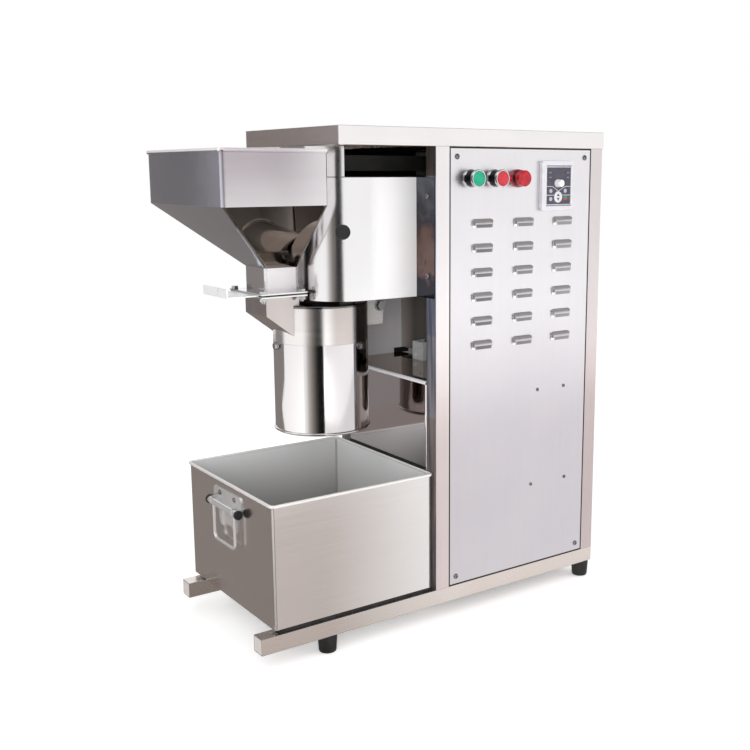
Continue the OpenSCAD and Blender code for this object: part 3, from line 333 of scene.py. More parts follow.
# Foot rubber: black and matt, with a dusty bloom.
foot_rubber = matt("black_foot_rubber", "#2B2A2A", "#161616", 0.55)
dress(foot_rubber, 0, "feet")


# Cabinet frame: the same tube, welded into posts, a top frame and inner members.
# The posts keep a bluish drawn finish on the sides that the skins leave open.
def zone(material, spans, code=None, rough=None, metal=None, soft=0.00005):
    """Changes the finish on a part of a piece. Spans gives the lowest and highest place along X, Y or Z in
    metres, or the range of the surface's direction along NX, NY or NZ. Soft is how far its edges fade, and
    the code is a hex tint or a colour socket."""
    tree = material.node_tree
    shader = tree.nodes["Principled BSDF"]
    place = add(tree, "ShaderNodeTexCoord").outputs["Object"]
    place = add(tree, "ShaderNodeSeparateXYZ", None, {"Vector": place})
    way = add(tree, "ShaderNodeNewGeometry").outputs["True Normal"]
    way = add(tree, "ShaderNodeSeparateXYZ", None, {"Vector": way})
    share = 1.0
    for key, (low, high) in spans.items():
        along = (way if key[0] == "N" else place).outputs[key[-1]]
        for edge, before, after in ((low, 0.0, 1.0), (high, 1.0, 0.0)):
            past = add(tree, "ShaderNodeMapRange", {"interpolation_type": "SMOOTHSTEP"},
                       {"Value": along, "From Min": edge - soft, "From Max": edge + soft,
                        "To Min": before, "To Max": after})
            both = add(tree, "ShaderNodeMath", {"operation": "MULTIPLY"},
                       {0: share, 1: past.outputs["Result"]})
            share = both.outputs["Value"]
    for key, value in (("Base Color", code), ("Roughness", rough), ("Metallic", metal)):
        if value is None:
            continue
        socket = shader.inputs[key]
        plain = socket.links[0].from_socket if socket.links else socket.default_value
        if key == "Base Color":
            mixed = add(tree, "ShaderNodeMix", {"data_type": "RGBA", "blend_type": "MULTIPLY"},
                        {0: share, 6: plain, 7: linear(value) if isinstance(value, str) else value})
            tree.links.new(mixed.outputs[2], socket)
        else:
            mixed = add(tree, "ShaderNodeMix", {"data_type": "FLOAT"}, {0: share, 2: plain, 3: value})
            tree.links.new(mixed.outputs[0], socket)


# Drawn post tube: bright fronts, and scuffs of 3.85 mm by 111 mm on the bare bluish side.
post_steel = steel("drawn_stainless_post", "#F6F1F0", "#ECE7E8", 0.24, (6.25, 6.25, 200), 0.0003)
tree = post_steel.node_tree
post_spot = add(tree, "ShaderNodeTexCoord").outputs["Object"]
long_grain = add(tree, "ShaderNodeMapping", None,
                 {"Vector": post_spot, "Scale": (1000 / 3.85, 1000 / 3.85, 1000 / 111)})
scuffs = add(tree, "ShaderNodeTexNoise", None,
             {"Vector": long_grain.outputs["Vector"], "Scale": 1.0, "Detail": 3.0})
scuffs = add(tree, "ShaderNodeValToRGB", None, {"Fac": scuffs.outputs["Fac"]})
ramp_stops(scuffs, (0.34, "#8F97A8"), (0.52, "#BDC3D0"), (0.68, "#E6EAF2"))
zone(post_steel, {"X": (-0.003, -0.0022)}, scuffs.outputs["Color"], 0.36, 0.6)
# Painted reflections on the posts' bare sides in the alcove: bands of brown, grey, blue and brown by height
# stand in for what those sides mirror.
alcove_side_painted_reflection = {"X": (-0.1, 0.015), "NX": (-1.1, -0.7)}
for low, high, code, soft in ((0.0, 0.334, "#C2B2A6", 0.006), (0.334, 0.46, "#D4D1CF", 0.006),
                              (0.46, 0.9, "#B9BECB", 0.004), (0.7, 0.9, "#B49C84", 0.002)):
    zone(post_steel, {**alcove_side_painted_reflection, "Z": (low, high)}, code, soft=soft)
# Painted reflection of the floor: the posts' fronts are painted darker and pinker towards the bottom, and a
# little darker on the right.
post_front = {"NY": (-1.2, -0.6)}
zone(post_steel, {**post_front, "Z": (-1.0, 0.42)}, "#E6DDDC", soft=0.12)
zone(post_steel, {**post_front, "X": (0.2, 0.6)}, "#ECE8E9", soft=0.05)
dress(post_steel, 0.8, "cabinet_posts")
zone(tube_steel, {"X": (0.0, 0.6)}, "#F6F0EF", soft=0.1)
dress(tube_steel, 0.6, "top_frame")
dress(tube_steel, 0, "cross_members")


# Drive: a small foot-mounted motor stands upright in the cabinet and turns the spindle by a flat belt.
# Its cast housing is painted, the pulleys are grey iron, the shafts are turned steel.

# Enamel: a dull blue grey with a low gloss, uneven where dust sits.
motor_paint = matt("motor_enamel", "#5B7383", "#4C626F", 0.42)
dress(motor_paint, 0, "motor_housing", "motor_end_bells", "fan_cowl", "terminal_box")
# Turned steel: grey, with close rings left by the lathe.
turned_steel = steel("turned_steel", "#B9B9BA", "#8E8E90", 0.3, (33.3, 33.3, 1.11))
dress(turned_steel, 0, "motor_shaft", "spindle_shaft", "spindle_bearings", "rotor_nut")
# Grey iron: dark and grainy, with only a half metallic sheen.
grey_iron = matt("grey_cast_iron", "#4B4A4A", "#383737", 0.6)
grey_iron.node_tree.nodes["Principled BSDF"].inputs["Metallic"].default_value = 0.6
dress(grey_iron, 0, "spindle_pulley", "motor_pulley", "bearing_housing")
# Belt rubber: brownish black and matt.
belt_rubber = matt("belt_rubber", "#262423", "#1A1918", 0.6)
dress(belt_rubber, 0, "drive_belt")
# Nylon: black with a soft gloss.
fan_plastic = matt("black_fan_nylon", "#232325", "#18181A", 0.45)
dress(fan_plastic, 0, "motor_fan")
# Galvanised sheet: pale, nearly white, and mottled by its zinc crystals of about 11 mm.
zinc = steel("galvanised_sheet", "#F5F6F7", "#CFD1D4", 0.4, (11.1, 11.1, 11.1), 0.0, 0.1)
dress(zinc, 0.3, "motor_plate", "bay_bracket")
# Ground plate: dark grey, with grinding marks to one side.
plate_steel = steel("ground_steel_plate", "#9A9996", "#7C7A77", 0.34, (50, 3.85, 50))
dress(plate_steel, 0.4, "head_plate")


# Grinding head: a ring with a lid, in which a hammer rotor runs inside a toothed liner over a screen.
# The drum below it is a rolled, mirror-polished sleeve with a bead round its mouth.

# Mirror polish: sharp upright reflections. Its colour is painted darker where the drum turns away into the
# alcove, and a little darker on a band of its front: painted reflections.
mirror_steel = steel("mirror_stainless", "#E7E4E3", "#DFDCDB", 0.09, (333, 333, 333), 0.00002)
zone(mirror_steel, {"X": (-0.1, 0.0)}, "#9A928E", soft=0.003)
zone(mirror_steel, {"X": (-0.153, -0.1), "Y": (-0.2, -0.04)}, "#ECEAEC", soft=0.004)
# Satin ring: softer reflections, with fine turning marks round it. Like the drum, its colour is painted
# darker towards the alcove and on its front: painted reflections.
ring_steel = steel("satin_ring_stainless", "#F0EDEB", "#DCD7D4", 0.2, (125, 125, 3.85), 0.0001)
zone(ring_steel, {"X": (-0.047, 0.0)}, None, 0.4, 0.3)
zone(ring_steel, {"X": (-0.1, -0.052)}, "#9A928E", soft=0.003)
zone(ring_steel, {"X": (-0.143, -0.1), "Y": (-0.2, -0.04)}, "#DAD4D2", soft=0.008)
# The lid's colour is painted dark: a painted reflection of the shaded side.
lid_steel = steel("polished_stainless_painted_shade", "#8B8785", "#6F6B69", 0.1, (8.33, 8.33, 8.33))
dress(mirror_steel, 0.3, "discharge_drum")
dress(ring_steel, 0.3, "grinding_chamber")
dress(lid_steel, 0, "chamber_lid")
dress(turned_steel, 0, "grinding_ring", "screen", "grinding_rotor")
# Plated bolts: grey with a hard glint. The one beside the drum is less metallic, and its sides are painted
# dark, a painted reflection of the dark alcove, so that it shows a pale end.
bolt_steel = steel("plated_bolt_steel", "#CFCFD0", "#9C9B9A", 0.22, (5.56, 5.56, 5.56))
lug_bolt = {"X": (-0.024, -0.003), "Z": (0.48, 0.512)}
zone(bolt_steel, lug_bolt, None, 0.3, 0.4)
zone(bolt_steel, {**lug_bolt, "NY": (-0.8, 1.1)}, "#2E2D2C")
dress(bolt_steel, 0.35, "head_bolts", "gate_bolts")


# Feed: a folded hopper with a turned rim sits on a bolted gate guide, and a chute leads into the ring.
# A flat blade with a bent handle slides in the guide.
def drift(material, axis, low, high, stir, *stops):
    """A tint for zone that drifts along an axis between two places in metres, stirred by 22.2 mm clouds."""
    tree = material.node_tree
    spot = add(tree, "ShaderNodeTexCoord").outputs["Object"]
    along = add(tree, "ShaderNodeSeparateXYZ", None, {"Vector": spot}).outputs[axis]
    share = add(tree, "ShaderNodeMapRange", None, {"Value": along, "From Min": low, "From Max": high})
    cloud = add(tree, "ShaderNodeTexNoise", None,
                {"Vector": spot, "Scale": 1000 / 22.2, "Detail": 1.0, "Distortion": 0.6})
    cloud = add(tree, "ShaderNodeMapRange", None,
                {"Value": cloud.outputs["Fac"], "From Min": 0.25, "From Max": 0.75,
                 "To Min": -stir, "To Max": stir})
    share = add(tree, "ShaderNodeMath", {"operation": "ADD"},
                {0: share.outputs["Result"], 1: cloud.outputs["Result"]})
    tint = add(tree, "ShaderNodeValToRGB", None, {"Fac": share.outputs["Value"]})
    ramp_stops(tint, *stops)
    return tint.outputs["Color"]


# Bright hopper sheet: clear reflections and a matt fold. Painted reflections: the left wall is painted
# cooler and darker towards the back, the funnel's left side bluish, the front wall a little darker, and the
# funnel's front darker and browner.
neck_foot, funnel_foot, funnel_top, rim_foot = 0.53, 0.5682, 0.6606, 0.7341
hopper_steel = steel("bright_hopper_stainless", "#EDE9EB", "#E1DDDF", 0.1, (250, 250, 16.7), 0.0003)
left_wall_painted_reflection = drift(hopper_steel, "Y", -0.12, 0.08, 0.04,
                   (0.05, "#E4E9F4"), (0.45, "#BCC2C8"), (1.0, "#BAC0C4"))
zone(hopper_steel, {"NX": (-1.1, -0.7), "Z": (funnel_top, rim_foot)}, left_wall_painted_reflection, 0.2, 0.92)
zone(hopper_steel, {"NX": (-0.7, -0.5), "Z": (funnel_foot, funnel_top)}, "#DBE7F0")
zone(hopper_steel, {"X": (-0.338, -0.3311), "Y": (-0.128, -0.1205), "Z": (funnel_top, rim_foot)}, None, 0.45)
zone(hopper_steel, {"NY": (-1.2, -0.6), "X": (-0.6, -0.2), "Z": (0.67, 0.9)}, "#CCC7CA", soft=0.06)
zone(hopper_steel, {"Z": (rim_foot, 0.739)}, None, 0.3, 0.25)
zone(hopper_steel, {"Y": (-0.2, -0.02), "Z": (funnel_foot, funnel_top), "NY": (-1.1, -0.3)}, "#9E968C", 0.03)
zone(hopper_steel, {"Z": (neck_foot, funnel_foot), "NY": (-1.1, -0.5)}, "#F0F0F0", 0.4, 0.3)
# Satin chute: a warmer, softer grey than the hopper.
chute_steel = steel("satin_chute_stainless", "#CBC3C1", "#BDB5B2", 0.2, (16.7, 16.7, 100), 0.0003)
# Gate guide: bright flanges, with a painted shadow along the slot between them.
gate_steel = steel("bright_gate_stainless", "#F3F2F1", "#E7E5E4", 0.14, (100, 10, 10))
dress(hopper_steel, 0.5, "hopper")
dress(chute_steel, 0.6, "feed_chute")
# Blasted blade: a soft white with hardly a reflection.
blade_steel = steel("white_blasted_stainless", "#FDFDFD", "#F6F6F6", 0.3, (100, 16.7, 16.7), 0.0, 0.25)
# Painted shadow: a dark line at the height of the slot between the flanges.
zone(gate_steel, {"Z": (0.5288, 0.5309)}, "#3A3836", 0.4)
dress(gate_steel, 0.5, "gate_guide")
dress(blade_steel, 0.5, "slide_gate")


# Alcove: mirror sheet lines the cabinet's open side, and a polished cover with round corners
# encloses the bearing housing. The belt space above it is lined with black-painted sheet.

# Mirror sheet: it shows the bin and the drum again, and has matt folded edges. The shelf is painted darker
# and browner, a painted reflection, and the face below it a little darker.
fold_z, fold_y, sheet_back = 0.3818, -0.1122, 0.0019
bay_steel = steel("mirror_alcove_stainless", "#F8F7FB", "#F0EFF3", 0.06, (333, 333, 333), 0.0003)
zone(bay_steel, {"X": (-0.004, 0.0), "Y": (fold_y, 0.2), "Z": (0.0, fold_z)}, "#E6E0DD")
zone(bay_steel, {"X": (sheet_back, 0.2)}, "#9A8774")
for axis, low, high in (("Z", fold_z, 0.39), ("Y", -0.1145, fold_y)):
    zone(bay_steel, {"X": (-0.003, sheet_back), axis: (low, high)}, None, 0.45, 0.05)
# Satin wall: a grey that darkens towards the front, where the cover shades it.
wall_steel = steel("satin_alcove_stainless", "#D6D0CB", "#C6BFB9", 0.3, (250, 8.33, 250), 0.0003, 0.3)
wall_drift = drift(wall_steel, "Y", 0.0815, 0.1378, 0.0,
                   (0.0, "#86827F"), (0.35, "#7F7B78"), (0.66, "#B4B1AE"), (1.0, "#E0DDDB"))
zone(wall_steel, {"NX": (-1.1, -0.9)}, wall_drift)
# Polished cover: nearly white on its round side. Its flange is painted a mottled dark and brown, a painted
# reflection of the surroundings.
cover_steel = steel("polished_cover_stainless", "#F2F1F1", "#EDEBEB", 0.17, (333, 333, 333), 0.0002)
zone(cover_steel, {"X": (-0.078, 0.03)}, None, 0.5, 0.3, 0.012)
flange_painted_reflection = drift(cover_steel, "Z", 0.53, 0.70, 0.13,
                   (0.1, "#3B3B43"), (0.22, "#7A655F"), (0.48, "#6A524C"), (0.64, "#3A393F"),
                   (0.98, "#62646D"))
zone(cover_steel, {"X": (-0.0042, 0.0)}, flange_painted_reflection, 0.2, 0.9)
# Black paint and a rubber plug: both swallow the light, the paint with a slight sheen.
black_paint = matt("matt_black_paint", "#1F1F1F", "#161616", 0.5)
plug_rubber = matt("black_plug_rubber", "#242424", "#151515", 0.5)
dress(bay_steel, 0.3, "bay_panel")
dress(wall_steel, 0.3, "bay_wall")
dress(cover_steel, 0.3, "spindle_cover", "belt_housing")
dress(black_paint, 0, "belt_tray")
dress(plug_rubber, 0.3, "cover_plug")


# Bracket bolts: two galvanised dome-headed bolts go through the bracket that stands on the alcove's shelf.
# Their heads are turned shapes, set in place by the tree that sets every other fixing too.
def turned(name, profile, count):
    """A turned shape about Z, from the radius and height in millimetres of each step of its outline."""
    corners = []
    rings = []
    for radius, height in profile:
        steps = count if radius else 1
        rings.append([len(corners) + i for i in range(steps)])
        for i in range(steps):
            angle = math.tau * i / steps
            corners.append((radius * math.cos(angle) / 1000, radius * math.sin(angle) / 1000, height / 1000))
    faces = []
    for low, high in zip(rings, rings[1:]):
        for i in range(count):
            j = i + 1
            ends = (low[i % len(low)], low[j % len(low)], high[j % len(high)], high[i % len(high)])
            faces.append(list(dict.fromkeys(ends)))
    mesh = bpy.data.meshes.new(name)
    mesh.from_pydata(corners, [], faces)
    made = bpy.data.objects.new(name, mesh)
    scene.collection.objects.link(made)
    return made


fixing_tree = bpy.data.node_groups.new("fixings", "GeometryNodeTree")
for label, way, kind in (("Geometry", "INPUT", "NodeSocketGeometry"), ("Head", "INPUT", "NodeSocketObject"),
                         ("Finish", "INPUT", "NodeSocketMaterial"), ("Size", "INPUT", "NodeSocketFloat"),
                         ("Geometry", "OUTPUT", "NodeSocketGeometry")):
    fixing_tree.interface.new_socket(label, in_out=way, socket_type=kind)
given = add(fixing_tree, "NodeGroupInput")
facing = add(fixing_tree, "GeometryNodeInputNamedAttribute", {"data_type": "FLOAT_VECTOR"},
             {"Name": "facing"})
upright = add(fixing_tree, "FunctionNodeAlignRotationToVector", {"axis": "Z"},
              {"Vector": facing.outputs["Attribute"]})
head_shape = add(fixing_tree, "GeometryNodeObjectInfo", None, {"Object": given.outputs["Head"]})
set_heads = add(fixing_tree, "GeometryNodeInstanceOnPoints", None,
                {"Points": given.outputs["Geometry"], "Instance": head_shape.outputs["Geometry"],
                 "Rotation": upright.outputs["Rotation"], "Scale": given.outputs["Size"]})
set_heads = add(fixing_tree, "GeometryNodeRealizeInstances", None,
                {"Geometry": set_heads.outputs["Instances"]})
set_heads = add(fixing_tree, "GeometryNodeGroup", {"node_tree": smooth_tree},
                {"Geometry": set_heads.outputs["Geometry"], "Sharp Angle": math.radians(32)})
set_heads = add(fixing_tree, "GeometryNodeSetMaterial", None,
                {"Geometry": set_heads.outputs["Geometry"], "Material": given.outputs["Finish"]})
add(fixing_tree, "NodeGroupOutput", None, {"Geometry": set_heads.outputs["Geometry"]})
fixing_inputs = {s.name: s.identifier for s in fixing_tree.interface.items_tree if s.in_out == "INPUT"}


def fasten(name, head, finish, body, size, spots):
    """Sets a head at each place, facing its way, and makes them one plain mesh that rides on a body."""
    points = bpy.data.meshes.new(name + "_places")
    points.from_pydata([place for place, way in spots], [], [])
    ways = points.attributes.new("facing", "FLOAT_VECTOR", "POINT")
    for i, (place, way) in enumerate(spots):
        ways.data[i].vector = way
    carrier = bpy.data.objects.new(name + "_places", points)
    scene.collection.objects.link(carrier)
    heads = carrier.modifiers.new("fixings", "NODES")
    heads.node_group = fixing_tree
    for key, value in (("Head", head), ("Finish", finish), ("Size", size)):
        heads[fixing_inputs[key]] = value
    mesh = bpy.data.meshes.new_from_object(carrier.evaluated_get(bpy.context.evaluated_depsgraph_get()))
    carrier.modifiers.clear()
    bpy.data.objects.remove(carrier)
    made = bpy.data.objects.new(name, mesh)
    scene.collection.objects.link(made)
    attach(made, body)
    return made


to_front, to_back, to_left, to_right = (0, -1, 0), (0, 1, 0), (-1, 0, 0), (1, 0, 0)
bracket_low, bracket_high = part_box("bay_bracket")
dome_profile = [(0, -0.3), (3.6, -0.3), (4.0, 0.0), (4.0, 0.5), (3.5, 1.3), (2.4, 1.9), (1.2, 2.2), (0, 2.3)]
dome = turned("dome_head", dome_profile, 28)
fasten("bracket_bolts", dome, zinc, "stand", 1.0,
       [((bracket_low.x, bracket_low.y + 0.008, bracket_high.z - 0.0065), to_left),
        ((bracket_low.x, bracket_high.y - 0.008, bracket_low.z + 0.0075), to_left)])


# Skins: folded brushed sheet. The deck is a shallow lid over the whole machine, and the front panel has
# three columns of louvres pressed out of it.

# Brushed sheet: even upright streaks and a soft shine. The deck's streaks lie level, and its left side is
# painted darker towards the back: painted shade.
sheet_steel = steel("brushed_stainless_sheet", "#EDEBED", "#E7E5E8", 0.3, (8.33, 8.33, 200), 0.0001)
deck_steel = steel("brushed_stainless_deck", "#F6F3F2", "#F0ECEB", 0.24, (200, 200, 8.33), 0.0001)
deck_side_painted_shade = drift(deck_steel, "Y", -0.13, 0.13, 0.0, (0.0, "#FFFBFA"), (0.4, "#EDE5E3"), (1.0, "#E0D9D6"))
zone(deck_steel, {"NX": (-1.1, -0.8)}, deck_side_painted_shade)
dress(deck_steel, 1.2, "deck")

# Painted reflection and highlights on the pressed louvres: their forward faces are painted darker than the
# flat sheet, less so to the right, and a painted white glint, less metallic, sits at both ends of each lip.
sheet_front = -0.13985
lip_z, louvre_pitch = 0.434, 0.0377
tree = sheet_steel.node_tree
place = add(tree, "ShaderNodeTexCoord").outputs["Object"]
place = add(tree, "ShaderNodeSeparateXYZ", None, {"Vector": place})
way = add(tree, "ShaderNodeNewGeometry").outputs["True Normal"]
way = add(tree, "ShaderNodeSeparateXYZ", None, {"Vector": way})
proud = add(tree, "ShaderNodeMath", {"operation": "LESS_THAN"}, {0: place.outputs["Y"], 1: sheet_front})
row = add(tree, "ShaderNodeMath", {"operation": "SUBTRACT"}, {0: place.outputs["Z"], 1: lip_z})
row = add(tree, "ShaderNodeMath", {"operation": "FLOORED_MODULO"},
          {0: row.outputs["Value"], 1: louvre_pitch})
square_on = add(tree, "ShaderNodeMapRange", {"interpolation_type": "SMOOTHSTEP"},
                {"Value": way.outputs["Y"], "From Min": -0.99, "From Max": -0.95,
                 "To Min": 1.0, "To Max": 0.0})
fade = add(tree, "ShaderNodeMapRange", None,
           {"Value": place.outputs["X"], "From Min": 0.06, "From Max": 0.3, "To Min": 1.0, "To Max": 0.66})
louvre_painted_shade = add(tree, "ShaderNodeMath", {"operation": "MULTIPLY"},
           {0: proud.outputs["Value"], 1: fade.outputs["Result"]})
louvre_painted_shade = add(tree, "ShaderNodeMath", {"operation": "MULTIPLY"},
           {0: louvre_painted_shade.outputs["Value"], 1: square_on.outputs["Result"]})
aside = add(tree, "ShaderNodeMath", {"operation": "ABSOLUTE"}, {0: way.outputs["X"]})
aside = add(tree, "ShaderNodeMapRange", {"interpolation_type": "SMOOTHSTEP"},
            {"Value": aside.outputs["Value"], "From Min": 0.3, "From Max": 0.6})
corner = add(tree, "ShaderNodeMapRange", {"interpolation_type": "SMOOTHSTEP"},
             {"Value": row.outputs["Value"], "From Min": 0.002, "From Max": 0.005,
              "To Min": 1.0, "To Max": 0.0})
painted_glint = add(tree, "ShaderNodeMath", {"operation": "MULTIPLY"},
            {0: aside.outputs["Result"], 1: corner.outputs["Result"]})
painted_glint = add(tree, "ShaderNodeMath", {"operation": "MULTIPLY"},
            {0: painted_glint.outputs["Value"], 1: proud.outputs["Value"]})
back_inside = (0.1418, 0.1424)
zone(sheet_steel, {"Y": back_inside}, "#F0EFF0", 0.5, 0.0)
# Painted shade: a dark strip on the back panel's inner face just above the shelf.
zone(sheet_steel, {"X": (0.108, 0.14), "Y": back_inside, "Z": (0.386, 0.395)}, "#2A2827")
# Painted reflection of the floor: the front faces are painted darker and pinker towards the bottom.
zone(sheet_steel, {"Y": (-0.6, 0.0), "Z": (-1.0, 0.42)}, "#E4E0E3", soft=0.12)
sheet_tone = tree.nodes["Principled BSDF"].inputs["Base Color"]
sheet_metal = tree.nodes["Principled BSDF"].inputs["Metallic"]
louvre_painted_shade = add(tree, "ShaderNodeMix", {"data_type": "RGBA", "blend_type": "MULTIPLY"},
           {0: louvre_painted_shade.outputs["Value"], 6: sheet_tone.links[0].from_socket, 7: linear("#898889")})
painted_glint_mix = add(tree, "ShaderNodeMix", {"data_type": "RGBA"},
            {0: painted_glint.outputs["Value"], 6: louvre_painted_shade.outputs[2], 7: linear("#FFFFFF")})
tree.links.new(painted_glint_mix.outputs[2], sheet_tone)
painted_glint_mix = add(tree, "ShaderNodeMix", {"data_type": "FLOAT"},
            {0: painted_glint.outputs["Value"], 2: sheet_metal.links[0].from_socket, 3: 0.15})
tree.links.new(painted_glint_mix.outputs[0], sheet_metal)
dress(sheet_steel, 0.3, "front_panel", "back_panel", "right_panel")


# Panel screws: pan heads with a cross recess, zinc plated, one at each corner of a panel and of the cover.
# Four smaller ones hold the speed controller behind the front panel.
def prism(shape, outline, low, high, place=Matrix(), finish=0):
    """Adds a closed bar to a bmesh: an outline in millimetres, drawn out between two heights and placed."""
    ends = []
    for height in (low, high):
        corners = [Vector((u / 1000, v / 1000, height / 1000)) for u, v in outline]
        ends.append([shape.verts.new(place @ corner) for corner in corners])
    sides = [shape.faces.new(list(reversed(ends[0]))), shape.faces.new(ends[1])]
    for i in range(len(outline)):
        j = (i + 1) % len(outline)
        sides.append(shape.faces.new((ends[0][i], ends[0][j], ends[1][j], ends[1][i])))
    for side in sides:
        side.material_index = finish


def piece(name, shape, body, *finishes):
    """Makes a finished bmesh a piece that rides on a body. A cutting tool has no body."""
    mesh = bpy.data.meshes.new(name)
    shape.to_mesh(mesh)
    shape.free()
    for finish in finishes:
        mesh.materials.append(finish)
    made = bpy.data.objects.new(name, mesh)
    scene.collection.objects.link(made)
    if body:
        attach(made, body)
    return made


# Zinc plating, its colour painted dark as a painted reflection of the dark surroundings, so that each screw
# shows as a dark dot with a glint.
screw_steel = steel("zinc_screw_steel_painted_dark", "#9B9A9B", "#777677", 0.1, (8.33, 8.33, 8.33))
pan_profile = [(0, -0.4), (4.4, -0.4), (4.4, 0.4), (4.1, 1.1), (3.4, 1.75), (2.4, 2.15),
               (1.2, 2.35), (0, 2.4)]
screw_head = turned("screw_head", pan_profile, 32)
cross = bmesh.new()
arm, half = 2.5, 0.55
prism(cross, [(arm, -half), (arm, half), (half, half), (half, arm), (-half, arm), (-half, half),
              (-arm, half), (-arm, -half), (-half, -half), (-half, -arm), (half, -arm), (half, -half)],
      0.9, 3.0)
cross = piece("cross_cutter", cross, None)
recess = screw_head.modifiers.new("cross_recess", "BOOLEAN")
recess.operation = "DIFFERENCE"
recess.object = cross
cut_head = bpy.data.meshes.new_from_object(screw_head.evaluated_get(bpy.context.evaluated_depsgraph_get()))
screw_head.modifiers.clear()
screw_head.data = cut_head
bpy.data.objects.remove(cross)
front_low, front_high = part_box("front_panel")
side_low, side_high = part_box("right_panel")
cover_low, cover_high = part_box("spindle_cover")
back_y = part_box("back_panel")[1].y
skin_y = -0.1393
inset = 0.012
screw_spots = []
for z in (front_low.z + inset, front_high.z - inset):
    for x in (front_low.x + inset, front_high.x - inset):
        screw_spots += [((x, skin_y, z), to_front), ((x, back_y, z), to_back)]
    for y in (side_low.y + inset, side_high.y - inset):
        screw_spots.append(((side_high.x, y, z), to_right))
for z in (cover_low.z + 0.033, cover_high.z - 0.0275):
    for y in (cover_low.y + 0.017, cover_high.y - 0.017):
        screw_spots.append(((cover_high.x - 0.0012, y, z), to_left))
screws = fasten("panel_screw_heads", screw_head, screw_steel, "stand", 1.0, screw_spots)
inverter_spots = [((x, skin_y, z), to_front)
                  for x, z in ((0.2044, 0.3535), (0.2624, 0.3535), (0.1932, 0.1935), (0.2686, 0.1935))]
fasten("inverter_screw_heads", screw_head, screw_steel, "stand", 0.7, inverter_spots)
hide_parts("panel_screws")


# Panel gap strip: a thin flat ring of matt black lies in the gap between each panel and the frame.
# It is a flat ring, a little behind the sheet's face, and shows as a fine black line round the panel.
gap_strip_w, gap_strip_t = 0.0025, 0.00065
gap_black = matt("matt_black_gap_strip", "#1B1B1B", "#121212", 0.6)
gap_strip = bmesh.new()
for panel, across, along, plane in (("front_panel", 0, 1, -0.1390), ("back_panel", 0, 1, 0.14235),
                                    ("right_panel", 1, 0, 0.33625)):
    low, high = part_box(panel)
    loops = []
    for depth in (plane, plane + gap_strip_t):
        for grow in (0.0, gap_strip_w):
            a0, a1 = low[across] - grow, high[across] + grow
            z0, z1 = low.z - grow, high.z + grow
            ring = []
            for a, z in ((a0, z0), (a1, z0), (a1, z1), (a0, z1)):
                spot = [0, 0, z]
                spot[across] = a
                spot[along] = depth
                ring.append(gap_strip.verts.new(spot))
            loops.append(ring)
    for one, other in ((0, 1), (1, 3), (3, 2), (2, 0)):
        for i in range(4):
            j = (i + 1) % 4
            gap_strip.faces.new((loops[one][i], loops[one][j], loops[other][j], loops[other][i]))
bmesh.ops.recalc_face_normals(gap_strip, faces=gap_strip.faces)
piece("panel_seal", gap_strip, "stand", gap_black)


# Rim shade strip: a strip of the same matt black lies on the alcove's panel at the height of the bin's rim.
# It shows as a black line behind the rim: painted shade.
bay_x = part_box("bay_panel")[0].x
rim_v = -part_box("bin")[1].z * 1000
on_bay = Matrix(((0, 0, -1, bay_x), (1, 0, 0, 0), (0, -1, 0, 0), (0, 0, 0, 1)))
rim_shade = bmesh.new()
prism(rim_shade, [(-113.0, rim_v - 4.2), (116.0, rim_v - 4.2), (116.5, rim_v - 3.7), (116.5, rim_v + 1.0),
               (116.0, rim_v + 1.5), (-113.0, rim_v + 1.5)], 0.0, 0.55, on_bay)
piece("bin_buffer", rim_shade, "stand", gap_black)


# Controls: chrome bezels hold a green and a red push button, next to a red pilot lamp,
# and the speed controller's keypad sits in a silver frame with its knob.

# Chrome: a clear mirror on the bezel's ring. The collar behind it is painted black, as painted shade.
bezel_chrome = steel("chrome_bezel", "#EDEDEF", "#DADADD", 0.08, (11.1, 11.1, 11.1))
zone(bezel_chrome, {"Y": (-0.1559, -0.1424)}, "#2A2A2C")
dress(bezel_chrome, 0, "button_bezels")


def plastic(name, pale, dark, rough):
    """Moulded plastic: an even colour with a faint flow pattern of 8.33 mm, a soft gloss and a mould grain.
    The grain is drawn at 0.714 mm, because the real one is too fine to show."""
    made, tree, shader, spot = new_material(name)
    flow = add(tree, "ShaderNodeTexNoise", None, {"Vector": spot, "Scale": 1000 / 8.33, "Detail": 2.0})
    grain = add(tree, "ShaderNodeTexNoise", None, {"Vector": spot, "Scale": 1000 / 0.714, "Detail": 2.0})
    tone = add(tree, "ShaderNodeValToRGB", None, {"Fac": flow.outputs["Fac"]})
    ramp_stops(tone, (0.35, dark), (0.65, pale))
    gloss = add(tree, "ShaderNodeMapRange", None,
                {"Value": flow.outputs["Fac"], "To Min": rough * 0.8, "To Max": rough * 1.2})
    relief = add(tree, "ShaderNodeBump", None,
                 {"Height": grain.outputs["Fac"], "Strength": 0.2, "Distance": 0.00005})
    surface(tree, shader, tone, gloss, relief)
    return made


# ABS caps: a full colour with a soft highlight. The lamp's lens is glossier, on a black collar.
dress(plastic("green_button_abs", "#0FA07C", "#0A906E", 0.3), 0, "start_button")
dress(plastic("red_button_abs", "#C42D3A", "#B0242F", 0.3), 0, "stop_button")
lamp_red = plastic("red_lamp_lens", "#BC1C2C", "#A01420", 0.15)
zone(lamp_red, {"Y": (-0.1493, -0.1431)}, "#1C1C1E")
dress(lamp_red, 0, "pilot_lamp")
# Switch plastic is a dull black, the keypad's frame a pale silver, its film a violet grey, the knob white.
switch_plastic = plastic("black_switch_plastic", "#242426", "#1A1A1C", 0.45)
dress(switch_plastic, 0, "contact_blocks", "inverter", "cable_gland")
dress(plastic("silver_keypad_plastic", "#D6D5DA", "#CDCCD2", 0.35), 0.5, "keypad_frame")
dress(plastic("dark_keypad_film", "#4B4855", "#413E4A", 0.3), 0.2, "keypad_face")
dress(plastic("white_knob_plastic", "#EDEBEE", "#E0DEE2", 0.35), 0, "speed_knob")


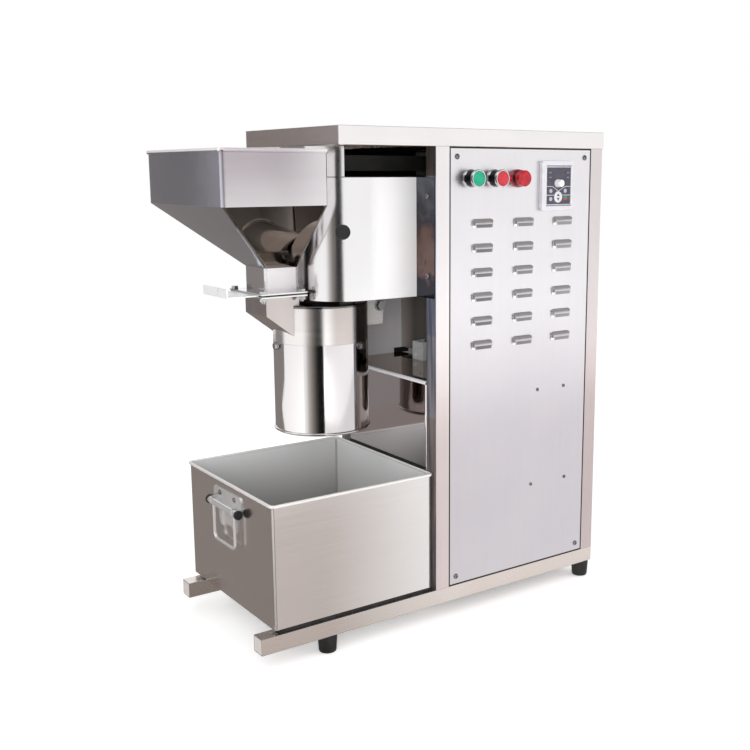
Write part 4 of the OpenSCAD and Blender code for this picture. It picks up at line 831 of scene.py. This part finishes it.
# Keypad print: lines, a round key with two arrows, and small colour marks, screen printed on the film.
# The ink stands a tenth of a millimetre proud. It carries no words.
def ribbon(points, width):
    """The outline of a line of even width through some points."""
    left, right = [], []
    for i, (u, v) in enumerate(points):
        before = points[max(i - 1, 0)]
        after = points[min(i + 1, len(points) - 1)]
        run = math.hypot(after[0] - before[0], after[1] - before[1])
        side = (-(after[1] - before[1]) / run * width / 2, (after[0] - before[0]) / run * width / 2)
        left.append((u + side[0], v + side[1]))
        right.append((u - side[0], v - side[1]))
    return right + left[::-1]


def oval(u, v, a, b, count=40, start=0.0, end=math.tau):
    """Points round an oval, or round a part of it."""
    steps = [start + (end - start) * i / count for i in range(count + (end - start < 6.28))]
    return [(u + a * math.cos(t), v + b * math.sin(t)) for t in steps]


def mark(u, v, a, b):
    """The outline of a rectangle, from its middle and its half sizes."""
    return [(u - a, v - b), (u + a, v - b), (u + a, v + b), (u - a, v + b)]


# Screen inks: flat and opaque, in white, grey, green, red and a dark grey.
face_ink = plastic("white_screen_ink", "#D9D9DE", "#CBCBD1", 0.4)
dim_ink = plastic("grey_screen_ink", "#85838E", "#787681", 0.4)
green_ink = plastic("green_screen_ink", "#35A06A", "#2B8F5C", 0.4)
red_ink = plastic("red_screen_ink", "#C0455A", "#AE3A4D", 0.4)
dark_ink = plastic("dark_screen_ink", "#55525E", "#4A4753", 0.4)
in_white, in_grey, in_green, in_red, in_dark = range(5)
face_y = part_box("keypad_face")[0].y
frame_low, frame_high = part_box("keypad_frame")
frame_middle = (frame_low + frame_high) / 2
on_face = Matrix(((1, 0, 0, frame_middle.x), (0, 0, -1, face_y), (0, 1, 0, frame_middle.z), (0, 0, 0, 1)))
on_frame = Matrix.Translation((0, frame_low.y - face_y, 0)) @ on_face
print_shape = bmesh.new()
for line in ([(-23, -0.9), (-10.6, -0.9), (0, -7), (6, -10.5)],
             [(28, -0.9), (17, -0.9), (5, -7), (-1, -10.5)],
             [(-23, -14.7), (-7.6, -14.7)], [(10.6, -14.7), (28, -14.7)]):
    prism(print_shape, ribbon(line, 0.8), -0.1, 0.12, on_face, in_white)
key_u = 1.9
prism(print_shape, oval(key_u, -17.7, 8.6, 8.9), -0.1, 0.2, on_face, in_white)
for v, up in ((-14.6, 1), (-20.8, -1)):
    arrow = [(key_u - 3.4 * up, v - 1.7 * up), (key_u + 3.4 * up, v - 1.7 * up), (key_u, v + 2.6 * up)]
    prism(print_shape, arrow, 0, 0.26, on_face, in_dark)
for v in (20.7, 13.3):
    for u in (-15.6, 22):
        prism(print_shape, mark(u, v, 2.6, 0.9), -0.1, 0.12, on_face, in_grey)
prism(print_shape, oval(17, -19.2, 4.2, 3.4, 20, 0, math.pi), -0.1, 0.2, on_face, in_green)
prism(print_shape, oval(17, -19.8, 4.2, 3.0, 20, math.pi, math.tau), -0.1, 0.2, on_face, in_red)
# The two grey bars on the frame, above and below its recess, are painted shade of the recess's edges, not
# print.
for v in (31.2, -31.0):
    prism(print_shape, mark(2.4, v, 26.8, 1.0), -0.1, 0.08, on_frame, in_grey)
keypad_print = piece("keypad_print", print_shape, "stand", face_ink, dim_ink, green_ink, red_ink, dark_ink)


# Keypad keys: three round domes pressed up out of the film, each over its own switch.
# Grey key plastic is paler than the film and has a satin gloss.
key_cap = turned("key_cap", [(0, -0.2), (3.2, -0.2), (3.3, 0.1), (3.1, 0.45), (2.4, 0.6), (0, 0.66)], 28)
key_plastic = plastic("grey_key_plastic", "#B9B8C1", "#A9A8B1", 0.4)
key_spots = [(on_face @ Vector((u / 1000, v / 1000, 0)), to_front)
             for u, v in ((-14, -8), (17, -8), (-14, -20.7))]
fasten("keypad_keys", key_cap, key_plastic, "stand", 1.0, key_spots)


# Powder bin: folded bright sheet with a turned rim. It slides on two rubber runners and is pulled
# by a wire bail, which hangs in a pressed plate between black bumpers.

# Bright bin sheet: mirrors the floor outside, is hazed by powder inside, and has a white rim. Inside, its
# colour is painted darker towards the floor: painted shade.
bin_floor, lining_top, rim_under, rim_top = 0.09, 0.24, 0.2411, 0.247
bin_middle = (-0.1446, 0.01175, 0)
inner_half_x, inner_half_y = 0.1374, 0.14365
bin_steel = steel("bright_bin_stainless", "#EBE7E5", "#E6E2E0", 0.18, (111, 111, 3.125), 0.00012)
tree = bin_steel.node_tree
spot = add(tree, "ShaderNodeTexCoord").outputs["Object"]
from_middle = add(tree, "ShaderNodeVectorMath", {"operation": "SUBTRACT"}, {0: spot, 1: bin_middle})
from_middle = add(tree, "ShaderNodeVectorMath", {"operation": "ABSOLUTE"},
                  {0: from_middle.outputs["Vector"]})
sides_of = add(tree, "ShaderNodeSeparateXYZ", None, {"Vector": from_middle.outputs["Vector"]})
within_x = add(tree, "ShaderNodeMath", {"operation": "LESS_THAN"},
               {0: sides_of.outputs["X"], 1: inner_half_x})
within_y = add(tree, "ShaderNodeMath", {"operation": "LESS_THAN"},
               {0: sides_of.outputs["Y"], 1: inner_half_y})
inside = add(tree, "ShaderNodeMath", {"operation": "MULTIPLY"},
             {0: within_x.outputs["Value"], 1: within_y.outputs["Value"]})
haze = add(tree, "ShaderNodeMapRange", None,
           {"Value": inside.outputs["Value"], "To Min": 1.0, "To Max": 0.06})
tree.links.new(haze.outputs["Result"], tree.nodes["Principled BSDF"].inputs["Metallic"])
inside_painted_shade = drift(bin_steel, "Z", bin_floor, lining_top, 0.0, (0.0, "#CBCAC9"), (1.0, "#EDEDED"))
bin_tone = tree.nodes["Principled BSDF"].inputs["Base Color"]
lined = add(tree, "ShaderNodeMix", {"data_type": "RGBA"},
            {0: inside.outputs["Value"], 6: bin_tone.links[0].from_socket, 7: inside_painted_shade})
tree.links.new(lined.outputs[2], bin_tone)
back_wall_painted_shade = drift(bin_steel, "Z", bin_floor, lining_top, 0.0,
                    (0.0, "#ADADAC"), (0.5, "#CFCFCE"), (1.0, "#F2F2F2"))
zone(bin_steel, {"NY": (-1.1, -0.9), "Y": (0.15, 0.16), "Z": (0.0, rim_under)}, back_wall_painted_shade)
zone(bin_steel, {"Z": (rim_under, rim_top)}, "#FFFFFF", 0.2, 0.3)
zone(bin_steel, {"NX": (-0.97, -0.15), "NY": (-0.97, -0.15), "Z": (0.0, rim_under)}, "#C4BDB9", 0.4)
dress(bin_steel, 0, "bin")
dress(foot_rubber, 0.4, "bin_runners", "bail_bumpers")
# Zinc plated handle: white and bright, with a slightly cloudy shine.
handle_zinc = steel("zinc_plated_handle", "#F6F6F6", "#E0E0E0", 0.2, (25, 25, 25), 0.0, 0.72)
dress(handle_zinc, 0.5, "bin_handle")
dress(handle_zinc, 0, "bin_bail")


# Handle tongue and rivets: a thin plated tongue below the handle's plate takes the bail's knocks,
# and two dome rivets hold the plate on the bin's wall.
plate_low, plate_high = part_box("bin_handle")
plate_y = (plate_low.y + plate_high.y) / 2
rivet_x, rivet_z, rivet_half_gap = -0.2846, 0.22345, 0.025
on_wall = Matrix(((0, 0, -1, plate_high.x), (-1, 0, 0, plate_y), (0, 1, 0, plate_low.z), (0, 0, 0, 1)))
tongue = bmesh.new()
prism(tongue, [(33, 0), (-33, 0), (-33, -21), (-28, -30), (-15, -30), (-9, -25), (9, -25), (15, -30),
               (28, -30), (33, -21)], 0.0, 1.2, on_wall)
piece("handle_tongue", tongue, "powder_bin", handle_zinc)
rivet_spots = [((rivet_x, plate_y + side, rivet_z), to_left) for side in (-rivet_half_gap, rivet_half_gap)]
fasten("handle_rivets", dome, screw_steel, "powder_bin", 1.0, rivet_spots)
for head in (dome, screw_head, key_cap):
    bpy.data.objects.remove(head)
